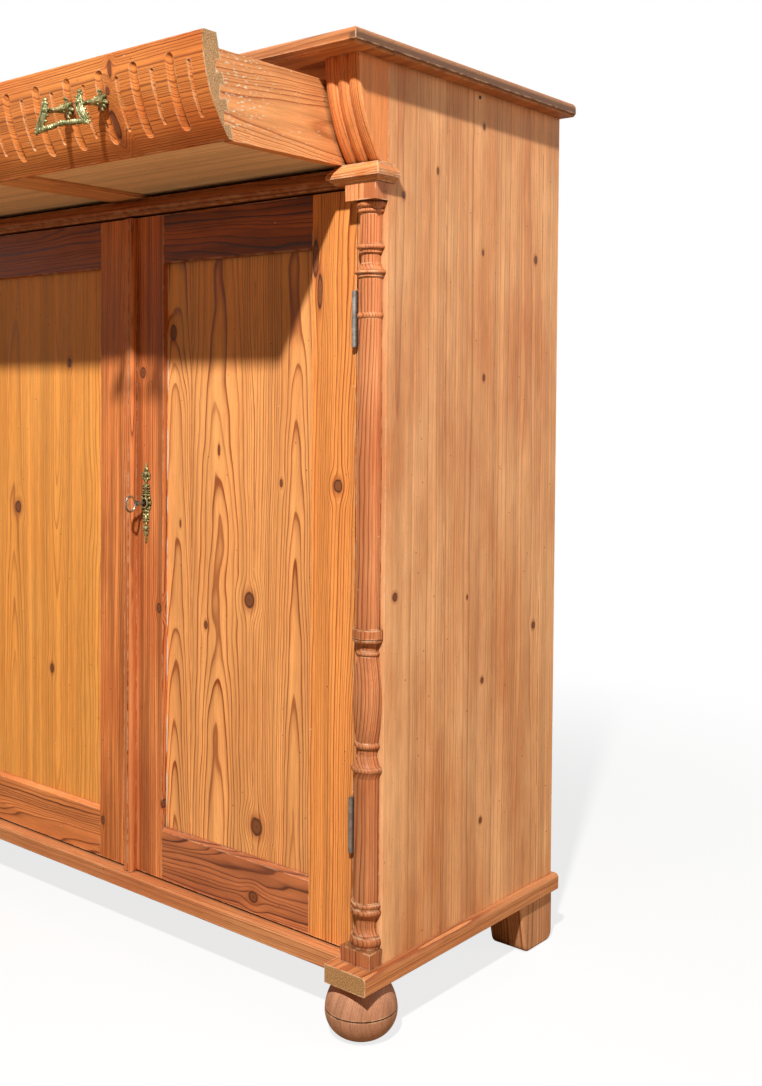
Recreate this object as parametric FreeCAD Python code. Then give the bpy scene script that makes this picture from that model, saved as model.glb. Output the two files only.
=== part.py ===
import FreeCAD, Part
import os
from math import asin, cos, degrees, sin, sqrt

# A pine cupboard with one wide drawer over two doors, 1.27 m tall. The frame has X to the right seen
# from the front, Y to the back and Z up. The origin is on the floor, in the mirror plane, below the
# middle of the cupboard as it stands with its drawer pulled out. All sizes are in millimetres.

os.makedirs("parts", exist_ok=True)
vec = FreeCAD.Vector

# Carcass
carcass_width = 1012.0
carcass_depth = 408.0
side_height = 1150.0
side_thickness = 22.0
front_to_origin = 64.0
overrun = 5.0
same_place = 0.2

# Base and feet
foot_height = 77.0
base_thickness = 24.0
base_side_width = 68.0
base_side_overhang = 10.0
base_end_overhang = 46.0
base_back_overhang = 6.0
base_front_overhang = 18.0
base_front_width = 80.0
base_back_width = 60.0
base_round = 6.0
base_front_round = 4.0
base_low_round = 2.0
bun_radius = 47.5
bun_inset = 34.5
bun_groove_width = 1.8
bun_groove_depth = 2.0
bun_tenon_radius = 12.0
bun_tenon_length = 20.0
tenon_clearance = 0.1
block_width = 62.0
block_depth = 92.0
block_side_inset = 8.0
block_back_inset = 4.0
block_round = 14.0
block_edge_round = 5.0
block_lean = 19.0

# Corner post, column, capital and frieze bracket
post_width = 27.5
post_depth = 45.0
column_block_width = 50.0
column_block_depth = 25.0
plinth_height = 20.0
abacus_height = 22.0
frieze_height = 127.0
capital_height = 25.0
capital_inner_width = 66.0
capital_depth = 22.0
capital_projection = 11.0
capital_return = 12.0
column_radius = 22.7
bracket_width = 56.0
frieze_top_overhang = 61.5
frieze_radius = 185.0
frieze_straight = 8.0
reed_count = 3
reed_depth = 4.0
reed_room = 70.0
reed_sweep_share = 1.25

# Rail, dust board, floor, shelves, stop and back
rail_depth = 60.0
rail_front_overhang = 3.0
board_thickness = 18.0
back_thickness = 10.0
back_rebate = 10.0
back_board_count = 5
back_board_bevel = 1.5
shelf_side_gap = 0.5
shelf_front_setback = 47.0
shelf_height_shares = (0.36, 0.68)
cleat_width = 20.0
cleat_height = 20.0
stop_thickness = 8.0
stop_height = 20.0
stop_gap = 0.3
guide_height = 26.0
kicker_height = 15.0
kicker_width = 28.0
guide_front_setback = 3.0

# Top board
top_thickness = 20.0
top_side_overhang = 27.0
top_front_overhang = 96.0
top_back_overhang = 2.0
top_round = 9.0
top_low_chamfer = 4.0
quirk_width = 1.5
quirk_depth = 2.0
quirk_setback = 9.0

# Doors
door_thickness = 22.0
door_bottom_gap = 3.0
door_top_gap = 3.0
door_side_gap = 1.5
meeting_gap = 1.6
stile_width = 77.6
left_closing_stile_width = 68.0
top_rail_width = 72.0
bottom_rail_width = 77.4
panel_thickness = 8.0
panel_recess = 8.0
groove_depth = 8.0
rail_bevel = 5.0
top_rail_bevel = 1.5
tenon_length = 38.0
tenon_shoulder = 12.0
astragal_width = 18.0
astragal_height = 11.0
astragal_foot_gap = 1.0
astragal_top_gap = 1.0

# Hinges
hinge_height = 71.0
hinge_end_knuckle = 15.0
hinge_end_share = 0.169
knuckle_radius = 4.0
knuckle_stand = 4.5
knuckle_gap = 0.3
leaf_thickness = 1.8
leaf_depth = 18.0
leaf_gap = 0.3
leaf_front_gap = 0.1
pin_radius = 1.8
pin_clearance = 0.06
pin_head_radius = 3.2
pin_head_height = 1.4
screw_radius = 1.6
screw_head_radius = 3.0
screw_head_depth = 1.5
screw_length = 14.0
screw_height_shares = (0.14, 0.5, 0.86)
screw_depth_share = 0.62

# Lock, key and escutcheon
keyhole_height = 667.0
keyhole_x = 41.0
keyhole_radius = 3.4
key_slot_width = 3.6
key_slot_gap = 1.7
lock_case_width = 58.0
lock_case_height = 66.0
lock_case_thickness = 11.0
lock_wall = 1.6
forend_thickness = 2.0
lock_bolt_height = 10.0
lock_bolt_thickness = 6.0
lock_bolt_length = 40.0
lock_bolt_gap = 0.1
lock_throw = 10.0
bolt_above_key = 15.0
key_stem_radius = 2.4
key_bore_radius = 1.3
key_pin_clearance = 0.06
key_stand = 22.7
key_bit_reach = 8.5
key_bit_thickness = 2.4
key_bit_length = 6.0
key_collar_radius = 4.0
key_collar_length = 3.0
key_tip_gap = 0.1
bow_height = 26.0
bow_length = 20.0
bow_wire = 1.7
escutcheon_height = 121.0
escutcheon_width = 27.0
escutcheon_thickness = 2.6
boss_radius = 8.5
boss_height = 4.0
boss_round = 1.3
striker_height = 34.0
striker_thickness = 1.5
striker_margin = 1.0

# Bolt of the left door
bolt_bar_radius = 3.5
bolt_stem_radius = 1.8
bolt_bar_length = 90.0
bolt_rest_gap = 3.0
bolt_inset = 40.0
bolt_plate_width = 26.0
bolt_plate_height = 78.0
bolt_plate_thickness = 1.6
staple_height = 8.0
staple_wall = 2.2
bolt_knob_radius = 4.5
bolt_knob_stand = 9.0
bolt_stop_gap = 0.5

# Drawer
pull_out = 200.0
drawer_side_gap = 3.0
drawer_under_gap = 0.1
drawer_front_lift = 1.2
drawer_front_height = 117.8
drawer_front_foot = 6.0
drawer_front_top = 21.5
drawer_front_ease = 1.8
drawer_side_thickness = 15.0
drawer_side_height = 101.7
drawer_back_thickness = 12.0
drawer_back_setback = 6.0
drawer_rear_clearance = 28.0
drawer_bottom_thickness = 7.0
drawer_bottom_rise = 6.0
drawer_groove = 7.0
drawer_front_groove = 3.0
muntin_width = 70.0
muntin_thickness = 16.0
tail_length = 9.0
tail_half_height = 6.0
tail_flare = 2.6
tail_height_shares = (0.24, 0.52, 0.80)
flute_pitch = 32.4
flute_side_count = 13
wide_flute_width = 15.0
wide_flute_depth = 3.4
wide_flute_low = 21.0
wide_flute_high = 93.0
narrow_flute_width = 6.6
narrow_flute_depth = 2.1
narrow_flute_low = 28.0
narrow_flute_high = 85.0

# Drawer pulls
pull_x = 226.0
pull_height = 66.0
pull_spacing = 68.0
rosette_radius = 9.5
rosette_thickness = 3.0
rosette_sink = 0.8
post_radius = 3.6
pull_post_length = 27.0
ball_radius = 4.6
lug_gap = 0.4
lug_thickness = 2.0
lug_radius = 4.4
pull_pin_radius = 1.5
pull_pin_clearance = 0.06
arm_thickness = 2.6
arm_gap = 0.6
arm_width = 14.0
arm_above = 13.0
arm_finial_radius = 2.8
arm_below = 25.0
arm_splay = 17.0
arm_boss_radius = 4.4
grip_rise = 5.0
grip_radius = 4.2
stud_radius = 2.2
stud_end = 2.0
nut_radius = 5.0
nut_height = 4.5

# Nails
nail_radius = 1.3
nail_head_radius = 2.6
nail_head_height = 0.8
nail_length = 32.0
side_nail_depth = 199.0
back_nail_length = 20.0

# Places worked out from the sizes
half_width = carcass_width / 2
front = -front_to_origin
back = front + carcass_depth
inner_x = half_width - side_thickness
base_top = foot_height + base_thickness
soffit = base_top + side_height
top_face = soffit + top_thickness
post_inner_x = inner_x - post_width
rail_top = soffit - frieze_height
rail_bottom = rail_top - capital_height
abacus_top = rail_bottom
capital_inner_x = half_width - capital_inner_width
column_x = half_width - column_block_width / 2
bracket_inner_x = half_width - bracket_width
board_back = back - back_thickness
door_bottom = base_top + door_bottom_gap
door_top = rail_bottom - door_top_gap
door_back = front + door_thickness
door_outer_x = post_inner_x - door_side_gap
right_door_edge = meeting_gap / 2
left_door_edge = -meeting_gap / 2
hinge_x = post_inner_x - door_side_gap / 2
hinge_y = front - knuckle_stand
hinge_low_z = door_bottom + hinge_end_share * (door_top - door_bottom) - hinge_height / 2
hinge_high_z = door_top - hinge_end_share * (door_top - door_bottom) - hinge_height / 2
curve_y = front - frieze_top_overhang + frieze_radius
curve_z = soffit - frieze_straight


def box(x0, x1, y0, y1, z0, z1):
    return Part.makeBox(x1 - x0, y1 - y0, z1 - z0, vec(x0, y0, z0))


def pair(shape):
    return Part.makeCompound([shape, mirrored(shape)])


def rod(point, direction, radius, length):
    return Part.makeCylinder(radius, length, point, direction)


def mirrored(shape):
    return shape.mirror(vec(0, 0, 0), vec(1, 0, 0))


def save(name, shape):
    shape.exportStep("parts/" + name + ".step")


def save_pair(name, right_shape):
    save(name + "_right", right_shape)
    save(name + "_left", mirrored(right_shape))


def group(shapes):
    return Part.makeCompound(shapes)


def outline_face(edges):
    return Part.Face(Part.Wire(edges))


def polygon_face(points):
    return Part.Face(Part.makePolygon(points + [points[0]]))


def bulged_edge(start, end, bulge):
    # A straight edge, or an arc whose middle stands off the chord by bulge, to the right of travel.
    if bulge == 0:
        return Part.LineSegment(start, end).toShape()
    along = end.sub(start)
    normal = vec(along.z, 0, -along.x).normalize()
    middle = start.add(end).multiply(0.5).add(normal.multiply(bulge))
    return Part.Arc(start, middle, end).toShape()


def turned(rows, radius_scale, height_scale):
    # A solid turned about Z from rows of (height share, radius share, bulge share to the next row).
    points = [vec(r * radius_scale, 0, h * height_scale) for h, r, _ in rows]
    edges = [
        bulged_edge(points[i], points[i + 1], rows[i][2] * radius_scale)
        for i in range(len(points) - 1)
    ]
    foot = vec(0, 0, points[0].z)
    head = vec(0, 0, points[-1].z)
    edges.append(Part.LineSegment(points[-1], head).toShape())
    edges.append(Part.LineSegment(head, foot).toShape())
    edges.append(Part.LineSegment(foot, points[0]).toShape())
    return outline_face(edges).revolve(vec(0, 0, 0), vec(0, 0, 1), 360)


def edges_where(shape, test):
    return [edge for edge in shape.Edges if test(edge.BoundBox)]


def near(a, b):
    return abs(a - b) < same_place


def moulded_block(x0, x1, y0, y1, z_top, height, rows, projection):
    # A block whose front and two ends step out by the rows' shares of the projection, mitred at the
    # corners. Rows are (depth share from the top, projection share).
    solids = []
    for i in range(len(rows) - 1):
        wires = []
        for depth, out in (rows[i + 1], rows[i]):
            step = out * projection
            z = z_top - depth * height
            corners = [
                vec(x0 - step, y0 - step, z),
                vec(x1 + step, y0 - step, z),
                vec(x1 + step, y1, z),
                vec(x0 - step, y1, z),
            ]
            wires.append(Part.makePolygon(corners + [corners[0]]))
        if rows[i][0] != rows[i + 1][0]:
            solids.append(Part.makeLoft(wires, True, True))
    block = solids[0]
    for solid in solids[1:]:
        block = block.fuse(solid)
    return block.removeSplitter()


# The moulding of the capitals and of the rail: an ogee, a fillet, a step and a small cove.
moulding_shares = (
    (0.00, 0.00),
    (0.06, 0.05),
    (0.13, 0.14),
    (0.13, 0.24),
    (0.22, 0.36),
    (0.32, 0.60),
    (0.44, 0.86),
    (0.58, 0.96),
    (0.60, 1.00),
    (0.74, 1.00),
    (0.74, 0.72),
    (0.82, 0.66),
    (0.88, 0.50),
    (0.92, 0.34),
    (1.00, 0.30),
)


def frieze_y(z):
    # The front of the frieze, which the drawer's front continues when it is shut.
    if z > curve_z:
        return curve_y - frieze_radius
    return curve_y - sqrt(frieze_radius**2 - (curve_z - z) ** 2)


def side_panel():
    panel = box(inner_x, half_width, front, back, base_top, soffit)
    rebate = box(inner_x - overrun, inner_x + back_rebate, board_back, back + overrun, base_top, soffit)
    return panel.cut(rebate)


def corner_post():
    post = box(post_inner_x, inner_x, front, front + post_depth, base_top, rail_bottom)
    for z0 in hinge_levels():
        post = post.cut(post_leaf_seat(z0)).cut(post_leaf_screws(z0))
    return post


# Rows of the turned column from its foot: height share, radius share, bulge share.
column_shares = (
    (0.0000, 0.925, 0.0),
    (0.0030, 0.925, 0.09),
    (0.0150, 0.925, 0.0),
    (0.0150, 0.837, 0.0),
    (0.0180, 0.837, -0.04),
    (0.0285, 0.670, 0.0),
    (0.0345, 0.670, -0.06),
    (0.0440, 0.903, 0.0),
    (0.0455, 0.952, 0.05),
    (0.0520, 0.952, 0.0),
    (0.0525, 0.900, 0.0),
    (0.0550, 0.900, 0.0),
    (0.0555, 0.935, 0.03),
    (0.0605, 0.935, 0.0),
    (0.0612, 0.811, 0.0),
    (0.2290, 0.811, -0.02),
    (0.2385, 0.960, 0.0),
    (0.2390, 0.985, 0.03),
    (0.2440, 0.960, -0.03),
    (0.2500, 0.771, 0.0),
    (0.2590, 0.639, 0.0),
    (0.2690, 0.639, 0.0),
    (0.2700, 0.780, 0.05),
    (0.2760, 0.780, 0.0),
    (0.2770, 0.727, 0.235),
    (0.3935, 0.670, 0.0),
    (0.3945, 0.714, 0.05),
    (0.3995, 0.714, 0.0),
    (0.4006, 0.626, 0.0),
    (0.4050, 0.639, -0.10),
    (0.4130, 0.947, 0.0),
    (0.4155, 0.982, 0.0),
    (0.4160, 0.934, 0.0),
    (0.4172, 0.934, 0.0),
    (0.4177, 0.982, 0.0),
    (0.4294, 0.982, 0.0),
    (0.4304, 0.793, 0.0),
    (0.8452, 0.767, 0.0),
    (0.8456, 0.800, 0.04),
    (0.8515, 0.800, 0.0),
    (0.8525, 0.771, 0.0),
    (0.8985, 0.780, 0.0),
    (0.9000, 0.872, 0.0),
    (0.9037, 0.872, 0.0),
    (0.9040, 0.960, 0.04),
    (0.9075, 0.970, -0.10),
    (0.9175, 0.661, 0.0),
    (0.9185, 0.626, 0.0),
    (0.9305, 0.626, 0.0),
    (0.9320, 0.749, 0.0),
    (0.9362, 0.758, 0.0),
    (0.9372, 0.863, 0.04),
    (0.9420, 0.863, 0.0),
    (0.9435, 0.722, 0.0),
    (0.9832, 0.722, 0.0),
    (0.9848, 0.806, 0.05),
    (0.9895, 0.806, 0.0),
    (0.9912, 0.837, 0.0),
    (0.9916, 0.894, 0.08),
    (1.0000, 0.894, 0.0),
)


def column():
    # A half-round turned column with its square plinth and abacus, in one piece.
    x0 = half_width - column_block_width
    y0 = front - column_block_depth
    plinth_top = base_top + plinth_height
    abacus_bottom = abacus_top - abacus_height
    shaft = turned(column_shares, column_radius, abacus_bottom - plinth_top)
    shaft.translate(vec(column_x, front, plinth_top))
    behind = box(x0 - overrun, half_width + overrun, front, back, base_top, abacus_top)
    shaft = shaft.cut(behind)
    plinth = box(x0, half_width, y0, front, base_top, plinth_top)
    abacus = box(x0, half_width, y0, front, abacus_bottom, abacus_top)
    return shaft.fuse([plinth, abacus]).removeSplitter()


def capital():
    block = moulded_block(
        capital_inner_x,
        half_width,
        front - capital_depth,
        front + capital_return,
        rail_top,
        capital_height,
        moulding_shares,
        capital_projection,
    )
    seat = box(0, half_width, front, back, rail_bottom - overrun, rail_top + overrun)
    return block.cut(seat)


def reed_cutter_face():
    # The air in front of the reeds, drawn flat at the height where the frieze starts to curve.
    reed_width = bracket_width / reed_count
    face_y = front - frieze_top_overhang
    outer_y = face_y - reed_room
    x_start = bracket_inner_x
    edges = []
    for i in range(reed_count):
        x0 = x_start + i * reed_width
        x1 = x0 + reed_width
        valley = face_y + reed_depth
        middle = vec((x0 + x1) / 2, face_y, curve_z)
        edges.append(Part.Arc(vec(x0, valley, curve_z), middle, vec(x1, valley, curve_z)).toShape())
    x_end = x_start + bracket_width
    valley = face_y + reed_depth
    corners = [
        vec(x_end, valley, curve_z),
        vec(x_end + overrun, valley, curve_z),
        vec(x_end + overrun, outer_y, curve_z),
        vec(x_start - overrun, outer_y, curve_z),
        vec(x_start - overrun, valley, curve_z),
        vec(x_start, valley, curve_z),
    ]
    edges += [Part.LineSegment(corners[i], corners[i + 1]).toShape() for i in range(len(corners) - 1)]
    return outline_face(edges)


def frieze_bracket():
    # A reeded block under the top board, swept back to the capital at its foot.
    block = box(
        bracket_inner_x, half_width, front - frieze_top_overhang - reed_depth, front, rail_top, soffit
    )
    sweep = degrees(asin((curve_z - rail_top) / frieze_radius)) * reed_sweep_share
    air = reed_cutter_face()
    curved = air.revolve(vec(0, curve_y, curve_z), vec(1, 0, 0), sweep)
    straight = air.extrude(vec(0, 0, frieze_straight + overrun))
    return block.cut(curved).cut(straight)


def drawer_rail():
    # The rail under the drawer, with the capitals' moulding along its front edge.
    block = moulded_block(
        -inner_x,
        inner_x,
        front - rail_front_overhang,
        front + rail_depth,
        rail_top,
        capital_height,
        moulding_shares,
        capital_projection,
    )
    span = box(-inner_x, inner_x, front - rail_depth, back, rail_bottom, rail_top)
    right_cap = capital()
    cope = box(
        capital_inner_x, half_width, front - rail_depth, front, rail_bottom - overrun, rail_top + overrun
    )
    return block.common(span).cut([right_cap, mirrored(right_cap), cope, mirrored(cope)])


def post_notches(z0, z1):
    notch = box(post_inner_x, inner_x + overrun, front - overrun, front + post_depth, z0, z1)
    return [notch, mirrored(notch)]


def cupboard_floor():
    z1 = base_top + board_thickness
    board = box(-inner_x, inner_x, door_back + stop_gap, board_back, base_top, z1)
    return board.cut(post_notches(base_top, z1))


def dust_board():
    return box(-inner_x, inner_x, front + rail_depth, board_back, rail_top - board_thickness, rail_top)


def shelf_levels():
    floor = base_top + board_thickness
    return [floor + share * (rail_top - board_thickness - floor) for share in shelf_height_shares]


def shelves():
    x = inner_x - shelf_side_gap
    return group(
        [box(-x, x, front + shelf_front_setback, board_back, z, z + board_thickness) for z in shelf_levels()]
    )


def shelf_cleats():
    cleats = []
    for z in shelf_levels():
        y0 = front + shelf_front_setback
        cleat = box(inner_x - cleat_width, inner_x, y0, board_back, z - cleat_height, z)
        cleats += [cleat, mirrored(cleat)]
    return group(cleats)


def door_stop():
    y0 = door_back + stop_gap
    return box(-post_inner_x, post_inner_x, y0, y0 + stop_thickness, rail_bottom - stop_height, rail_bottom)


def drawer_runners():
    # Guides beside the drawer's foot and kickers above its sides.
    guide = box(
        bracket_inner_x,
        inner_x,
        front + guide_front_setback,
        board_back,
        rail_top,
        rail_top + guide_height,
    )
    kicker = box(
        inner_x - kicker_width - bracket_width + side_thickness,
        inner_x,
        front + guide_front_setback,
        board_back,
        soffit - kicker_height,
        soffit,
    ).cut(side_nails()[0])
    return group([guide, mirrored(guide), kicker, mirrored(kicker)])


def back_boards():
    x0 = -inner_x - back_rebate
    width = 2 * -x0 / back_board_count
    boards = []
    for i in range(back_board_count):
        left = x0 + i * width
        board = box(left, left + width, board_back, back, base_top, soffit)
        outer = edges_where(board, lambda b: near(b.YMin, back) and near(b.YMax, back) and b.ZLength > width)
        boards.append(board.makeChamfer(back_board_bevel, outer))
    return group(boards)


def nail(point, direction, length):
    shank = rod(point, direction, nail_radius, length)
    head_start = point.sub(vec(direction).multiply(nail_head_height))
    return shank.fuse(rod(head_start, direction, nail_head_radius, nail_head_height))


def side_nails():
    spot = vec(half_width, front + side_nail_depth, soffit - kicker_height / 2)
    one = nail(spot, vec(-1, 0, 0), nail_length)
    return [one, mirrored(one)]


def back_nails():
    levels = [z + board_thickness / 2 for z in shelf_levels()]
    levels.append(base_top + board_thickness / 2)
    levels.append(rail_top - board_thickness / 2)
    x0 = -inner_x - back_rebate
    width = 2 * -x0 / back_board_count
    places = [(x0 + (i + 0.5) * width, z) for i in range(back_board_count) for z in levels]
    return [nail(vec(x, back, z), vec(0, -1, 0), back_nail_length) for x, z in places]


def top_board():
    # The top board, with a rounded nose on three sides and a fine quirk under the nose in front.
    x = half_width + top_side_overhang
    y0 = front - top_front_overhang
    y1 = back + top_back_overhang
    board = box(-x, x, y0, y1, soffit, top_face)

    def outer_at(z):
        return lambda b: (
            near(b.ZMin, z) and near(b.ZMax, z) and (b.YLength < side_thickness or b.YLength > carcass_depth)
            and not near(b.YMin, y1)
        )

    board = board.makeFillet(top_round, edges_where(board, outer_at(top_face)))
    board = board.makeChamfer(top_low_chamfer, edges_where(board, outer_at(soffit)))
    quirk = box(
        -x + quirk_setback,
        x - quirk_setback,
        y0 + quirk_setback,
        y0 + quirk_setback + quirk_width,
        soffit - overrun,
        soffit + quirk_depth,
    )
    return board.cut(quirk)


# Rows of the bun foot from the floor: height share, radius share, bulge share.
bun_shares = (
    (0.000, 0.385, 0.19),
    (0.480, 1.000, 0.09),
    (1.000, 0.600, 0.0),
)


def bun_foot():
    foot = turned(bun_shares, bun_radius, foot_height)
    groove_z = bun_shares[1][0] * foot_height
    ring = rod(vec(0, 0, groove_z), vec(0, 0, 1), bun_radius + overrun, bun_groove_width)
    core = rod(vec(0, 0, groove_z), vec(0, 0, 1), bun_radius - bun_groove_depth, bun_groove_width)
    foot = foot.cut(ring.cut(core))
    tenon = rod(vec(0, 0, foot_height), vec(0, 0, 1), bun_tenon_radius, bun_tenon_length)
    foot = foot.fuse(tenon)
    foot.translate(vec(half_width - bun_inset, front, 0))
    return foot


def block_foot():
    # A block behind, with eased corners, a rounded foot and a front face that leans back downwards.
    x1 = half_width + base_side_overhang - block_side_inset
    x0 = x1 - block_width
    y1 = back + base_back_overhang - block_back_inset
    y0 = y1 - block_depth
    profile = [
        vec(x0, y0, foot_height),
        vec(x0, y1, foot_height),
        vec(x0, y1, 0),
        vec(x0, y0 + block_lean, 0),
    ]
    block = polygon_face(profile).extrude(vec(x1 - x0, 0, 0))
    corners = edges_where(block, lambda b: near(b.ZMin, 0) and near(b.ZMax, 0) and b.XLength > block_round)
    block = block.makeFillet(block_round, corners)
    ends = edges_where(block, lambda b: b.ZLength > foot_height / 2 and b.XLength < block_round)
    return block.makeFillet(block_edge_round, ends)


def base_side_board():
    x1 = half_width + base_side_overhang
    board = box(
        x1 - base_side_width,
        x1,
        front - base_end_overhang,
        back + base_back_overhang,
        foot_height,
        base_top,
    )
    long_edges = edges_where(board, lambda b: b.YLength > carcass_depth and near(b.XMin, x1))
    high = [edge for edge in long_edges if near(edge.BoundBox.ZMax, base_top)]
    board = board.makeFillet(base_round, high)
    low = edges_where(
        board, lambda b: b.YLength > carcass_depth and near(b.XMin, x1) and near(b.ZMax, foot_height)
    )
    board = board.makeFillet(base_low_round, low)
    tenon_radius = bun_tenon_radius + tenon_clearance
    socket = rod(
        vec(half_width - bun_inset, front, foot_height - overrun),
        vec(0, 0, 1),
        tenon_radius,
        bun_tenon_length + overrun + tenon_clearance,
    )
    return board.cut(socket)


def base_front_board():
    x = half_width + base_side_overhang - base_side_width
    y0 = front - base_front_overhang
    board = box(-x, x, y0, y0 + base_front_width, foot_height, base_top)
    high = edges_where(board, lambda b: near(b.YMax, y0) and near(b.ZMin, base_top) and b.XLength > x)
    board = board.makeFillet(base_front_round, high)
    low = edges_where(board, lambda b: near(b.YMax, y0) and near(b.ZMax, foot_height) and b.XLength > x)
    return board.makeFillet(base_low_round, low)


def base_back_rail():
    x = half_width + base_side_overhang - base_side_width
    return box(-x, x, back - base_back_width, back, foot_height, base_top)


def door_groove(x0, x1, z0, z1):
    y0 = front + panel_recess
    return box(x0, x1, y0, y0 + panel_thickness, z0, z1)


def rail_spans():
    return (door_bottom, door_bottom + bottom_rail_width), (door_top - top_rail_width, door_top)


def panel_span():
    # The sight height of the panels, between the rails of a door.
    return door_bottom + bottom_rail_width, door_top - top_rail_width


def door_stile(x0, x1, sight_x):
    # A stile with a groove along its sight edge and two mortises. sight_x is that edge.
    stile = box(x0, x1, front, door_back, door_bottom, door_top)
    inward = -1 if sight_x == x1 else 1
    low, high = panel_span()
    span = sorted((sight_x, sight_x + inward * groove_depth))
    stile = stile.cut(door_groove(span[0], span[1], low - groove_depth, high + groove_depth))
    reach = sorted((sight_x, sight_x + inward * tenon_length))
    for z0, z1 in rail_spans():
        stile = stile.cut(door_groove(reach[0], reach[1], z0 + tenon_shoulder, z1 - tenon_shoulder))
    return stile


def door_rail(x0, x1, z0, z1, sight_z, bevel):
    # A rail between two stiles with a tenon at each end, grooved and bevelled along its sight edge.
    rail = box(x0, x1, front, door_back, z0, z1)
    inward = -1 if sight_z == z1 else 1
    span = sorted((sight_z, sight_z + inward * groove_depth))
    rail = rail.cut(door_groove(x0 - overrun, x1 + overrun, span[0], span[1]))
    sight = edges_where(
        rail, lambda b: near(b.YMax, front) and near(b.ZMin, sight_z) and near(b.ZMax, sight_z)
    )
    rail = rail.makeChamfer(bevel, sight)
    low = z0 + tenon_shoulder
    high = z1 - tenon_shoulder
    tenons = [door_groove(x0 - tenon_length, x0, low, high), door_groove(x1, x1 + tenon_length, low, high)]
    return rail.fuse(tenons).removeSplitter()


def door_panel(x0, x1):
    low, high = panel_span()
    return door_groove(x0 - groove_depth, x1 + groove_depth, low - groove_depth, high + groove_depth)


def door_pieces(closing_width):
    # Closing stile, hinge stile, top rail, bottom rail and panel of a door on the right.
    x0 = meeting_gap / 2
    x1 = x0 + closing_width
    x2 = door_outer_x - stile_width
    low, high = rail_spans()
    closing = door_stile(x0, x1, x1)
    hinge_stile = door_stile(x2, door_outer_x, x2)
    for z0 in hinge_levels():
        hinge_stile = hinge_stile.cut(door_leaf_seat(z0)).cut(door_leaf_screws(z0))
    top_rail = door_rail(x1, x2, high[0], high[1], high[0], top_rail_bevel)
    bottom_rail = door_rail(x1, x2, low[0], low[1], low[1], rail_bevel)
    return [closing, hinge_stile, top_rail, bottom_rail, door_panel(x1, x2)]


door_piece_names = ("closing_stile", "hinge_stile", "top_rail", "bottom_rail", "panel")


def hinge_levels():
    return hinge_low_z, hinge_high_z


def knuckle_spans(z0):
    # Three knuckles: the two ends belong to the door's leaf, the long middle one to the post's.
    first = z0 + hinge_end_knuckle
    last = z0 + hinge_height - hinge_end_knuckle
    return (z0, first - knuckle_gap), (first, last), (last + knuckle_gap, z0 + hinge_height)


def leaf_plate(x0, x1, z0):
    y0 = front + leaf_front_gap
    return box(x0, x1, y0, y0 + leaf_depth, z0, z0 + hinge_height)


def leaf_seat(x0, x1, z0):
    return box(x0, x1, front - overrun, front + leaf_front_gap + leaf_depth, z0, z0 + hinge_height)


def leaf_screws(x_face, inward, z0):
    # Countersunk screws through a leaf, with their heads flush with its face.
    y = front + leaf_depth * screw_depth_share
    screws = []
    for share in screw_height_shares:
        point = vec(x_face, y, z0 + share * hinge_height)
        direction = vec(inward, 0, 0)
        head = Part.makeCone(screw_head_radius, screw_radius, screw_head_depth, point, direction)
        screws.append(head.fuse(rod(point, direction, screw_radius, screw_length)).removeSplitter())
    return screws


def post_leaf_x():
    return hinge_x + leaf_gap / 2


def door_leaf_x():
    return hinge_x - leaf_gap / 2


def post_leaf_screws(z0):
    return leaf_screws(post_leaf_x(), 1, z0)


def door_leaf_screws(z0):
    return leaf_screws(door_leaf_x(), -1, z0)


def knuckles(spans, strap_x0, strap_x1, bore):
    barrels = []
    for z0, z1 in spans:
        barrel = rod(vec(hinge_x, hinge_y, z0), vec(0, 0, 1), knuckle_radius, z1 - z0)
        strap = box(strap_x0, strap_x1, hinge_y, front + leaf_front_gap + leaf_thickness, z0, z1)
        hole = rod(vec(hinge_x, hinge_y, z0 - overrun), vec(0, 0, 1), bore, z1 - z0 + 2 * overrun)
        barrels.append(barrel.fuse(strap).cut(hole))
    return barrels


def post_leaf(z0):
    x0 = post_leaf_x()
    x1 = x0 + leaf_thickness
    _, middle, _ = knuckle_spans(z0)
    leaf = leaf_plate(x0, x1, z0).fuse(knuckles([middle], x0, x1, pin_radius))
    return leaf.cut(post_leaf_screws(z0)).removeSplitter()


def door_leaf(z0):
    x1 = door_leaf_x()
    x0 = x1 - leaf_thickness
    low, _, high = knuckle_spans(z0)
    leaf = leaf_plate(x0, x1, z0).fuse(knuckles([low, high], x0, x1, pin_radius + pin_clearance))
    return leaf.cut(door_leaf_screws(z0)).removeSplitter()


def hinge_pin(z0):
    # A pin with a flat head on top. It is fast in the middle knuckle and runs in the other two.
    length = hinge_height + knuckle_gap
    pin = rod(vec(hinge_x, hinge_y, z0), vec(0, 0, 1), pin_radius, length)
    head = rod(vec(hinge_x, hinge_y, z0 + length), vec(0, 0, 1), pin_head_radius, pin_head_height)
    return pin.fuse(head)


def post_leaf_seat(z0):
    return leaf_seat(post_inner_x - overrun, post_leaf_x() + leaf_thickness, z0)


def door_leaf_seat(z0):
    return leaf_seat(door_leaf_x() - leaf_thickness, door_outer_x + overrun, z0)


def at_both_hinges(make):
    return [make(z0) for z0 in hinge_levels()]


def both_sides(shapes):
    return list(shapes) + [mirrored(shape) for shape in shapes]


def screws_at_both_hinges(make):
    return [screw for z0 in hinge_levels() for screw in make(z0)]


# Outline of the astragal from its closing edge: width share, height share, with the middle point of
# the arc that leads to it, where there is one.
astragal_shares = (
    (0.00, 0.86, None),
    (0.46, 0.86, None),
    (0.48, 0.74, None),
    (0.54, 0.74, None),
    (0.76, 1.00, (0.61, 0.93)),
    (1.00, 0.42, (0.94, 0.83)),
    (1.00, 0.00, None),
    (0.00, 0.00, None),
)


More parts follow.
